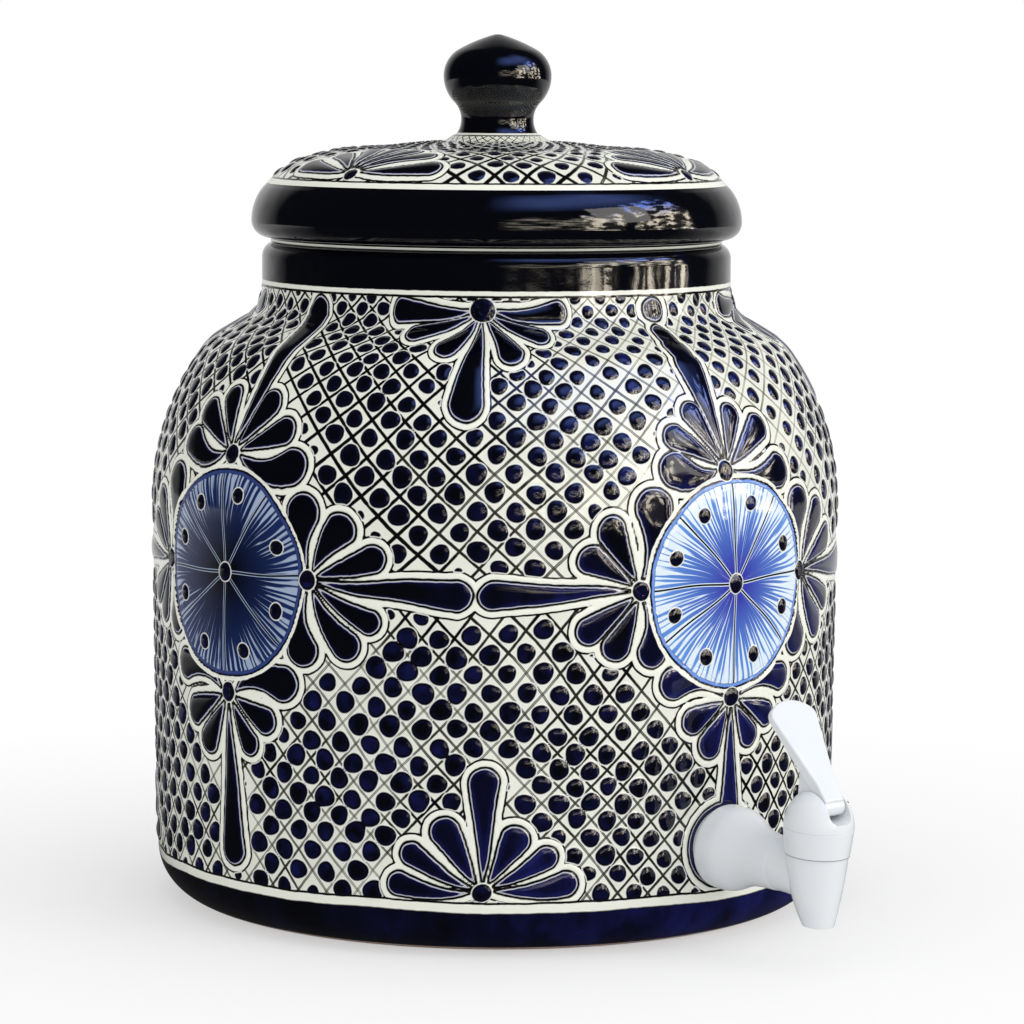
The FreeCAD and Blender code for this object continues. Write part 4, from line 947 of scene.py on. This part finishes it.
LINE_SHAKE = 0.045                 # and a lattice line, in gaps between lines
BORDER_SWAY = 3.5                  # how far the border over the foot goes up and down (mm)
SEAM_LINE = (0.0005, 0.0003)       # the seam's shadow ends between these heights over it (m)


class Value:
    """What a node gives: sums, products and other steps of it are nodes of the same tree."""

    def __init__(self, nodes, socket):
        self.nodes, self.socket = nodes, socket

    def math(self, operation, *others):
        return self.nodes.node("Math", self, *others, operation=operation)

    def __add__(self, other):
        return self.math("ADD", other)

    def __sub__(self, other):
        return self.math("SUBTRACT", other)

    def __mul__(self, other):
        return self.math("MULTIPLY", other)

    def __abs__(self):
        return self.math("ABSOLUTE")

    def larger(self, other):
        return self.math("MAXIMUM", other)

    def span(self, low, high, to_low=0.0, to_high=1.0):
        """The value carried from one range to another, held at the ends."""
        return self.nodes.node("MapRange", self, low, high, to_low, to_high)

    def mix(self, first, second):
        """The first colour where the value is 0 and the second where it is 1."""
        return self.nodes.node("Mix", data_type="RGBA", output=2, inputs={0: self, 6: first, 7: second})

    def ramp(self, low, high, stops):
        """Colours over a range of the value: stops are (place in the range, colour)."""
        made = self.nodes.node("ValToRGB", self.span(low, high))
        band = made.socket.node.color_ramp.elements
        for spot, (place, paint) in enumerate(stops):
            element = band[spot] if spot < 2 else band.new(1.0)
            element.position = (place - low) / (high - low)
            element.color = paint
        return made

    def dot(self, way):
        """How far a place or a direction reaches along a way."""
        return self.nodes.node("VectorMath", self, way, operation="DOT_PRODUCT", output="Value")

    def flattened(self, *scale):
        """A place scaled on each axis, so that a pattern on it is drawn out."""
        return self.nodes.node("Mapping", self, inputs={"Scale": scale})

    def noise(self, scale, detail=2.0, roughness=0.5):
        return self.nodes.node("TexNoise", output="Fac", inputs={
            "Vector": self, "Scale": scale, "Detail": detail, "Roughness": roughness})


class Nodes:
    """Short ways to add nodes to a tree."""

    def __init__(self, tree):
        self.tree = tree

    def put(self, socket, value):
        if isinstance(value, Value):
            self.tree.links.new(value.socket, socket)
        else:
            socket.default_value = value

    def node(self, kind, *values, output=0, inputs=None, **settings):
        """One output of a node with its settings, and its inputs in order or by name."""
        made = self.tree.nodes.new("ShaderNode" + kind)
        for key, value in settings.items():
            setattr(made, key, value)
        for key, value in [*enumerate(values), *(inputs or {}).items()]:
            self.put(made.inputs[key], value)
        return Value(self, made.outputs[output])

    def rays(self):
        """One for camera rays, and one for glossy and transmission rays."""
        camera, glossy, through = (
            self.node("LightPath", output=f"Is {kind} Ray")
            for kind in ("Camera", "Glossy", "Transmission"))
        return camera, glossy.larger(through)


class Finish(Nodes):
    """A material with its shader."""

    def __init__(self, name):
        self.material = bpy.data.materials.new(name)
        self.material.use_nodes = True
        super().__init__(self.material.node_tree)
        self.shader = self.tree.nodes["Principled BSDF"]
        self.place = self.node("TexCoord", output="Object")

    def field(self, name):
        return self.node("Attribute", attribute_name=name, output="Fac")

    def bump(self, height, distance, normal=None):
        under = {} if normal is None else {"Normal": normal}
        return self.node("Bump", inputs={"Height": height, "Distance": distance, **under})

    def gloss(self, roughness, wave):
        """The shine of a fired lead glaze: long shallow waves, fine grain, uneven roughness."""
        patches = self.place.noise(60.0, detail=3.0)
        self.shade(Roughness=patches.span(0.3, 0.7, roughness * 0.7, roughness * 1.4))
        waves = self.bump(self.place.noise(28.0, detail=2.5), wave)
        return self.bump(self.place.noise(900.0), 0.00001, waves)

    def shade(self, **inputs):
        """Put values on the shader's own sockets; the material."""
        for key, value in inputs.items():
            self.put(self.shader.inputs[key.replace("_", " ")], value)
        return self.material


def navy_paint(finish, edge=0.0):
    """Cobalt glaze that looks nearly black where it is thick, with bluer brushed patches; an edge share
    makes it thinner; as painted light it is bluer on the tap's side, lit from the camera's right, and
    it is bluer low on the pot."""
    upright = finish.place.flattened(1.0, 1.0, 0.4)
    patches = upright.noise(40.0, detail=3.0, roughness=0.6) * 0.65 + 0.145
    brushed = patches + upright.noise(300.0) * 0.06
    # Painted light: the place's lean makes the cobalt bluer on the lit side and low down; the edge
    # share is the real thinning.
    thin = finish.place.dot(PAINTED_LIGHT_SIDE) + 0.1 + edge
    return (brushed + thin).ramp(0.3, 0.9, [
        (0.3, NAVY_DEEP), (0.46, NAVY_DEEP), (0.61, NAVY), (0.82, NAVY_THIN)])


def navy_glaze():
    finish = Finish("navy_glaze")
    return finish.shade(Base_Color=navy_paint(finish), Normal=finish.gloss(0.05, 0.0006))


# A border is a measure, the span in which it takes over, the range of its colours, and these.
POT_BORDERS = [
    ("sway", (37.9, 37.6), (30.0, 40.0), [
        (30.0, NAVY), (32.6, NAVY), (32.9, INK_THIN), (33.3, CREAM), (36.6, CREAM),
        (36.9, INK), (37.6, INK)]),
    ("along", (308.3, 308.5), (306.0, 314.0), [
        (308.4, INK), (309.3, INK), (309.6, CREAM), (311.2, CREAM), (311.5, NAVY), (314.0, NAVY)]),
]
LID_BORDERS = [
    ("along", (4.1, 3.8), (0.0, 6.0), [(2.8, CREAM), (3.1, INK), (3.8, INK)]),
    ("along", (KNOB_LINE - 1.2, KNOB_LINE - 1.0), (KNOB_LINE - 2.0, KNOB_LINE + 4.0), [
        (KNOB_LINE - 1.0, INK), (KNOB_LINE - 0.3, INK), (KNOB_LINE, CREAM)]),
]
PETAL_RIM = [
    (-1.4, NAVY), (-1.0, NAVY_THIN), (-0.82, PALE_LINE), (-0.52, PALE_LINE), (-0.34, INK),
    (0.5, INK), (0.75, CREAM_SHADE), (1.2, CREAM), (2.9, CREAM), (3.15, INK), (3.8, INK),
]
DOT_RIM = [
    (-4.0, NAVY_DEEP), (-1.8, NAVY_DEEP), (-0.9, NAVY), (-0.4, INK), (0.1, INK), (0.3, PALE_LINE),
    (0.6, CREAM), (0.8, CREAM), (1.0, INK_THIN), (1.2, CREAM),
]


def painted_glaze(name, borders, rosettes, line_gap):
    """The painting, from the distances (mm) that its grid carries.

    From the ground up: cream, lattice lines, petals with their edges, the rosettes, all dots, and
    last the border lines. The hand shakes every edge a little, and presses harder here and there.
    """
    finish = Finish(name)
    place, field = finish.place, finish.field
    shake, drift = place.noise(260.0) - 0.5, place.noise(22.0)
    petal = field("petal") + shake * PETAL_SHAKE
    dots = field("dots") + shake * DOT_SHAKE

    painted = place.noise(45.0, detail=3.0).mix(CREAM, CREAM_SHADE)
    press = field("press") + drift.span(0.35, 0.65, -0.3, 0.3)
    width, thin = press.span(0.0, 1.0, *LINE_WIDTHS), press.span(0.55, 0.15)
    ink = press.span(0.2, 0.8).mix(INK_THIN, INK)

    # Lattice lines: wider, darker and without a pale heart where the brush presses.
    for family in ("line_a", "line_b"):
        gap = (field(family) + shake * LINE_SHAKE).math("PINGPONG", 0.5) * line_gap
        outer, heart = (gap - width).span(0.18, -0.12), gap.span(0.22, 0.08) * thin
        painted = (outer * heart.span(0.0, 1.0, 1.0, 0.0)).mix(painted, ink)

    # Petals: cobalt that thins towards the edge, and the bands round it.
    fill = navy_paint(finish, petal.span(-3.6, -0.9) * 0.16)
    flower = petal.span(-1.7, -1.3).mix(fill, petal.ramp(-1.4, 4.1, PETAL_RIM))
    painted = petal.span(*FLOWER_EDGE).mix(painted, flower)
    if rosettes:
        reach = field("reach") + shake
        painted = reach.span(*DISC_EDGE).mix(painted, rosette_paint(finish, reach))

    # Dots, with bluer patches where the brush presses less; as it presses least on the upper lattice
    # towards the lit side on the camera's right, that lean of the blue is painted light.
    blue = dots.span(-0.5, -1.2) * place.noise(120.0, detail=1.0).span(0.42, 0.75)
    blue = blue * field("press").span(0.9, 0.3, 0.05, 0.8)
    spot = blue.mix(dots.ramp(-4.0, 1.2, DOT_RIM), NAVY_THIN)
    painted = dots.span(0.85, 0.6).mix(painted, spot)

    # Borders, and plain navy beyond them on the pot.
    along = field("along") + shake * BORDER_SHAKE
    measures = {"along": along, "sway": along + (drift - 0.5) * BORDER_SWAY}
    for key, start_and_full, ends, stops in borders:
        measure = measures[key]
        painted = measure.span(*start_and_full).mix(painted, measure.ramp(*ends, stops))
    if rosettes:
        beyond = along.span(*COLLAR_NAVY).larger(measures["sway"].span(*BASE_NAVY))
        painted = beyond.mix(painted, navy_paint(finish))
    groove = abs(petal - 0.1).span(0.0, 0.6)
    return finish.shade(
        Base_Color=painted, Normal=finish.bump(groove, 0.00012, finish.gloss(0.055, 0.0003)))


def rosette_paint(finish, reach):
    """Blue disc: fine radial lines on white, which run together towards a violet middle, with
    dividing lines and a thin ring.

    The lines are a triangle wave of the angle, of a whole number of turns, so they close.
    """
    x, y, tone = (finish.field(key) for key in ("rosette_x", "rosette_y", "tone"))
    angle = y.math("ARCTAN2", x)
    round_x, round_y = angle.math("COSINE"), angle.math("SINE")
    short, long = (
        finish.node("CombineXYZ", round_x, round_y, reach * climb) for climb in (0.012, 0.0025))
    turns = angle * (ROSETTE_STREAKS / FULL_TURN) + long.noise(9.0) * 2.4
    wave = turns.math("PINGPONG", 0.5) * 2.0
    tongue = short.noise(2.6, detail=1.0) - 0.5
    single = long.noise(24.0, detail=1.0) - 0.5
    middle, outer, pale, ring = (tone.mix(colour(*dark), colour(*light)) for dark, light in (
        ((4, 5, 14), (56, 60, 162)), ((26, 42, 90), (94, 142, 214)),
        ((158, 173, 198), (220, 233, 243)), ((48, 66, 118), (112, 150, 222))))

    # Blue where the wave is under a level that falls, unevenly, from the middle outwards.
    share = reach * (1 / ROSETTE_RADIUS)
    level = share.span(0.26, 0.9, 1.15, 0.22) + tone.span(0.0, 1.0, 0.34, 0.02)
    level = level + tongue * 1.1 + single * 0.9
    blue = share.span(0.15, 0.85).mix(middle, outer)
    disc = (wave - level).span(-0.14, 0.14).mix(blue, pale)
    for turn in ROSETTE_LINE_TURNS:
        out, side = direction(turn).tolist(), direction(turn + 90).tolist()
        ray = (x * out[0] + y * out[1]).span(2.0, 4.0)
        off = abs(x * side[0] + y * side[1])
        disc = (off.span(0.85, 0.65) * ray).mix(disc, pale)
        disc = (off.span(0.5, 0.34) * ray).mix(disc, INK)

    # The ring round the disc: blue with a darker line, then ink and cream.
    wide = reach + tongue * 1.6
    ring = abs(wide - 44.1).span(0.5, 0.75).mix(ring, RING_LINE)
    ring = wide.span(44.9, 45.1).mix(ring, INK)
    ring = wide.span(45.6, 45.9).mix(ring, CREAM)
    return wide.span(43.1, 43.4).mix(disc, ring)


def bare_clay():
    finish = Finish("bare_clay")
    return finish.shade(
        Roughness=0.85, Normal=finish.bump(finish.place.noise(700.0, detail=3.0), 0.0001),
        Base_Color=finish.place.noise(120.0, detail=4.0).mix(CLAY, CLAY_SHADE))


def cream_glaze():
    finish = Finish("cream_glaze")
    return finish.shade(Base_Color=finish.place.noise(30.0, detail=3.0).mix(CREAM, CREAM_SHADE),
                        Normal=finish.gloss(0.12, 0.0002))


def moulded(name, light, dark, low, high, seam=None):
    """A moulded part: two near colours in soft patches, an uneven gloss and a fine grain. A seam
    is a plane, as its normal and its distance (m), with a fine shadow line above it."""
    finish = Finish(name)
    paint = finish.place.noise(50.0).mix(light, dark)
    if seam is not None:
        normal, distance = seam
        above = finish.place.dot(normal).span(*(distance + edge for edge in SEAM_LINE))
        paint = above.mix(paint, SEAM_SHADE)
    return finish.shade(
        Base_Color=paint, Roughness=finish.place.noise(90.0).span(0.3, 0.7, low, high),
        Normal=finish.bump(finish.place.noise(500.0), 0.00001))


def drawn_steel():
    """Bright wire and pins, with fine draw marks."""
    finish = Finish("drawn_steel")
    marks = finish.place.noise(1800.0)
    return finish.shade(
        Metallic=1.0, Roughness=marks.span(0.3, 0.7, 0.18, 0.32),
        Base_Color=marks.mix(STEEL, STEEL_SHADE))


# ---- the valve's spring ----
def on_valve(points):
    """Places given round the valve's axis, turned by the tap's droop and set on the pot's wall."""
    level, drop = cosine(TAP_DROOP), sine(TAP_DROOP)
    turn = np.array([[1, 0, 0], [0, level, -drop], [0, drop, level]])
    return (np.asarray(points) - (0, VALVE_REACH, 0)) @ turn.T + (0, -FLANGE_BACK, TAP_HEIGHT)


def valve_spring(material, sides=12, steps=48):
    """Wire wound round the valve's axis.

    Its middle goes round a circle for each turn while it climbs; across the wire is a circle on
    the direction out from the axis and the one square to it and to the wire. Its ends are flat.
    """
    share = np.linspace(0, 1, SPRING_TURNS * steps + 1)
    turn = FULL_TURN * SPRING_TURNS * share
    level = np.zeros(len(share))
    out = np.stack([np.cos(turn), np.sin(turn), level], -1)
    climb = (SPRING_HIGH - SPRING_LOW) / (FULL_TURN * SPRING_TURNS * SPRING_RADIUS)
    along = np.stack([-np.sin(turn), np.cos(turn), level + climb], -1) / math.hypot(1, climb)
    side = np.cross(along, out)
    middle = out * SPRING_RADIUS
    middle[:, 2] = SPRING_LOW + (SPRING_HIGH - SPRING_LOW) * share
    ring = np.linspace(0, FULL_TURN, sides, endpoint=False)[None, :, None]
    wire = middle[:, None] + WIRE_RADIUS * (np.cos(ring) * out[:, None] + np.sin(ring) * side[:, None])
    points = np.concatenate([wire.reshape(-1, 3), middle[:1], middle[-1:]])
    first = np.arange(sides)
    last = first + (len(share) - 1) * sides
    centre = np.full(sides, len(points) - 2)
    caps = [np.stack([np.roll(first, -1), first, centre], -1),
            np.stack([last, np.roll(last, -1), centre + 1], -1)]
    faces = [grid_faces(len(share), sides, closed=True), *caps]
    return add_mesh("spring_coils", on_valve(points), faces, material)


# ---- making the pieces ----
POT_LINE_GAP = 11.4         # distance between neighbouring lattice lines (mm)
LID_LINE_GAP = 10.0
CLAY_TOP = 11.0             # the foot is bare up to this length along the outline

painted_pot = painted_glaze("painted_pot", POT_BORDERS, True, POT_LINE_GAP)
painted_lid = painted_glaze("painted_lid", LID_BORDERS, False, LID_LINE_GAP)
navy, cream, steel = navy_glaze(), cream_glaze(), drawn_steel()

panels = [pot_panel(number, painted_pot) for number in range(PANELS)]
collar = joined(stretch(PANEL_TOP, OUTSIDE_LENGTH[-1]), arc(RIM_CENTRE, RIM_ROUND_OUT, 0, 90))
GLAZED = {
    "pot": ("pot_body", "pot_glaze", [
        *panels, turned("pot_collar", collar, navy), turned("pot_inside", inside_outline(), cream),
        turned("pot_base", stretch(CLAY_TOP, PANEL_FOOT), navy),
        turned("pot_foot", foot_outline(CLAY_TOP), bare_clay())]),
    "lid": ("lid", "lid_glaze", [
        turned("lid_band", band_outline(), navy), lid_top(painted_lid),
        turned("lid_knob", KNOB, navy), turned("lid_underside", underside_outline(), cream)]),
}
for body, (replaced, slot_name, pieces) in GLAZED.items():
    for piece in pieces:
        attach(piece, body)
        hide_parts(replaced)

# The spring stands on the stem's flange and under the bonnet, and is built at one length.
spring = valve_spring(steel)
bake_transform(spring)
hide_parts("return_spring")

valve_foot, valve_seam = on_valve([(0, 0, 0), (0, 0, BONNET_SEAM)])
seam_normal = (valve_seam - valve_foot) / BONNET_SEAM
seam = (tuple(seam_normal.tolist()), float(seam_normal @ valve_seam) * MM)
white = moulded("white_plastic", WHITE, WHITE_SHADE, 0.16, 0.26)
SLOT_FINISHES = {
    **dict.fromkeys(["tap_plastic", "lever_plastic", "stem_plastic", "nut_plastic"], white),
    **dict.fromkeys(["pin_steel", "spring_steel"], steel),
    "bonnet_plastic": moulded("bonnet_plastic", WHITE, WHITE_SHADE, 0.16, 0.26, seam),
    "cup_silicone": moulded("clear_silicone", SILICONE, SILICONE_SHADE, 0.3, 0.42),
    "gasket_rubber": moulded("white_rubber", RUBBER, RUBBER_SHADE, 0.5, 0.65),
}
for node in nodes.values():
    for slot in node.material_slots:
        key = slot.material.name.split(".")[0] if slot.material else ""
        slot.material = SLOT_FINISHES.get(key, slot.material)


# ---- camera, floor and light ----
CAMERA_DISTANCE = 1.7836
CAMERA_HEIGHT = 0.3724
CAMERA_BEARING = math.radians(-39.6)
CAMERA_DOWN = 0.11086
CAMERA_YAW = 0.00435
CAMERA_ROLL = 0.00638
FOCAL_PIXELS = 3922.85
IMAGE_PIXELS = 1024
SENSOR = 36.0

LAMP_BEARING = math.radians(62)    # to the right of the camera's bearing
LAMP_DISTANCE = 1.8
LAMP_HEIGHT = 1.1
LAMP_AIM = 0.2
LAMP_SIZE = 0.9
LAMP_POWER = 7.5
LAMP_TINT = (1.0, 0.97, 0.92)

FLOOR_RADIUS = 4.0
FLOOR_CORNERS = 96
BACKDROP = (0.637, 0.770, 0.0)     # direction from the pot to the white backdrop
BRIGHT_SIDE = (0.03, -0.67, 0.74)  # direction from which most of the soft light comes
WINDOW_STRENGTH = 11.0
STREAK_STRENGTH = 0.45 * WINDOW_STRENGTH
SKY_STRENGTH = 0.26 * WINDOW_STRENGTH
WARM, BLUE, PLAIN = (1.0, 0.9, 0.72, 1), (0.22, 0.34, 1.0, 1), (1, 1, 1, 1)


def placed(name, data, turn):
    """A camera or a lamp with its place and turn."""
    made = bpy.data.objects.new(name, data)
    bpy.context.scene.collection.objects.link(made)
    made.matrix_world = turn
    return made


def on_bearing(bearing, distance, height):
    """Place at a bearing from the tap, a distance from the axis and a height."""
    return Vector((math.sin(bearing) * distance, -math.cos(bearing) * distance, height))


def set_camera():
    """Camera on a bearing from the tap, looking at the axis and a little down."""
    data = bpy.data.cameras.new("camera")
    data.sensor_width = SENSOR
    data.lens = FOCAL_PIXELS * SENSOR / IMAGE_PIXELS
    turn = Matrix.Translation(on_bearing(CAMERA_BEARING, CAMERA_DISTANCE, CAMERA_HEIGHT))
    for angle, axis in (
        (CAMERA_BEARING - CAMERA_YAW, "Z"), (math.pi / 2 - CAMERA_DOWN, "X"), (CAMERA_ROLL, "Z"),
    ):
        turn = turn @ Matrix.Rotation(angle, 4, axis)
    bpy.context.scene.camera = placed("camera", data, turn)


def set_lamp():
    """A soft box to the right of the camera, turned to the pot."""
    data = bpy.data.lights.new("soft_box", "AREA")
    data.size = LAMP_SIZE
    data.energy = LAMP_POWER
    data.color = LAMP_TINT
    spot = on_bearing(CAMERA_BEARING + LAMP_BEARING, LAMP_DISTANCE, LAMP_HEIGHT)
    look = (Vector((0, 0, LAMP_AIM)) - spot).to_track_quat("-Z", "Y")
    placed("soft_box", data, Matrix.Translation(spot) @ look.to_matrix().to_4x4())


def set_floor():
    """A pale round floor that keeps the shadow near the object and turns to the backdrop's white
    further out."""
    finish = Finish("floor")
    finish.shade(Roughness=0.9, Base_Color=colour(240, 240, 240))
    camera, seen = finish.rays()
    reach = finish.node("VectorMath", finish.place, operation="LENGTH", output="Value")
    mirrored = finish.place.dot(BACKDROP).span(0.0, 0.8, 0.03, 0.7)
    white = finish.node("Emission", PLAIN, camera.larger(mirrored))
    share = seen.larger(camera * reach.span(0.17, 0.5, 0.5, 1.0))
    shaded = Value(finish, finish.shader.outputs[0])
    surface = finish.tree.nodes["Material Output"].inputs["Surface"]
    finish.put(surface, finish.node("MixShader", share, shaded, white))
    bearing = np.linspace(0, FULL_TURN, FLOOR_CORNERS, endpoint=False)
    rim = np.stack([np.cos(bearing), np.sin(bearing), 0 * bearing], -1) * FLOOR_RADIUS / MM
    add_mesh("floor", rim, [np.arange(FLOOR_CORNERS)[None]], finish.material)


def within(value, low, high, soft):
    """One between two angles in degrees, with soft ends."""
    low, high, soft = math.radians(low), math.radians(high), math.radians(soft)
    return value.span(low - soft, low + soft) * value.span(high + soft, high - soft)


def set_world():
    """White to the camera; for soft light a pale room, brighter on one side; for reflections a
    dark room with a white backdrop behind the object and a window with a view on the right."""
    world = bpy.data.worlds.new("studio")
    bpy.context.scene.world = world
    world.use_nodes = True
    room = Nodes(world.node_tree)
    camera, seen = room.rays()
    way = room.node("TexCoord", output="Generated")

    # Angles of a direction: to the right of the camera's bearing, and up.
    right_of = CAMERA_BEARING + math.pi / 2
    ahead, right = (way.dot(tuple(on_bearing(aim, 1, 0))) for aim in (CAMERA_BEARING, right_of))
    turn, height = right.math("ARCTAN2", ahead), way.dot((0.0, 0.0, 1.0)).math("ARCSINE")
    ragged = way.noise(7.0, detail=4.0) * 0.5 - 0.25
    turn_edge, height_edge = turn + ragged * 0.35, height + ragged

    # Two panes with a broken view, streaks of light left of them, and a strip of sky above.
    narrow = within(turn_edge, 41, 62, 1) * within(height_edge, -70, 26, 2)
    wide = within(turn_edge, 69, 104, 1) * within(height_edge, -70, 42, 2)
    view = way.noise(8.0, detail=5.0, roughness=0.6).span(0.49, 0.56, 0.02, 1.15) * WINDOW_STRENGTH
    streaks = within(turn, 6, 44, 6) * within(height, -1, 20, 3)
    streaks = streaks * way.flattened(1.0, 1.0, 9.0).noise(5.0, detail=3.0).span(
        0.5, 0.6, 0.0, STREAK_STRENGTH)
    sky = within(turn, 8, 96, 16) * within(height, 42, 68, 8) * SKY_STRENGTH
    window = (narrow.larger(wide) * view).larger(streaks).larger(sky)

    mirrored = way.dot(BACKDROP).span(0.55, 0.9, 0.02, 0.7) + window
    soft = way.dot(BRIGHT_SIDE).span(-1.0, 1.0, 0.26, 1.24)
    strength = seen.mix(soft, mirrored)
    tint = height_edge.span(0.35, 0.6).mix(WARM, BLUE)
    tint = (seen * window.span(0.0, 0.1)).mix(PLAIN, tint)
    back = world.node_tree.nodes["Background"]
    room.put(back.inputs["Strength"], strength * camera.span(0.0, 1.0, 1.0, 0.0) + camera)
    room.put(back.inputs["Color"], camera.mix(tint, PLAIN))


set_camera()
set_floor()
set_world()
set_lamp()
bpy.context.scene.view_settings.view_transform = "Standard"
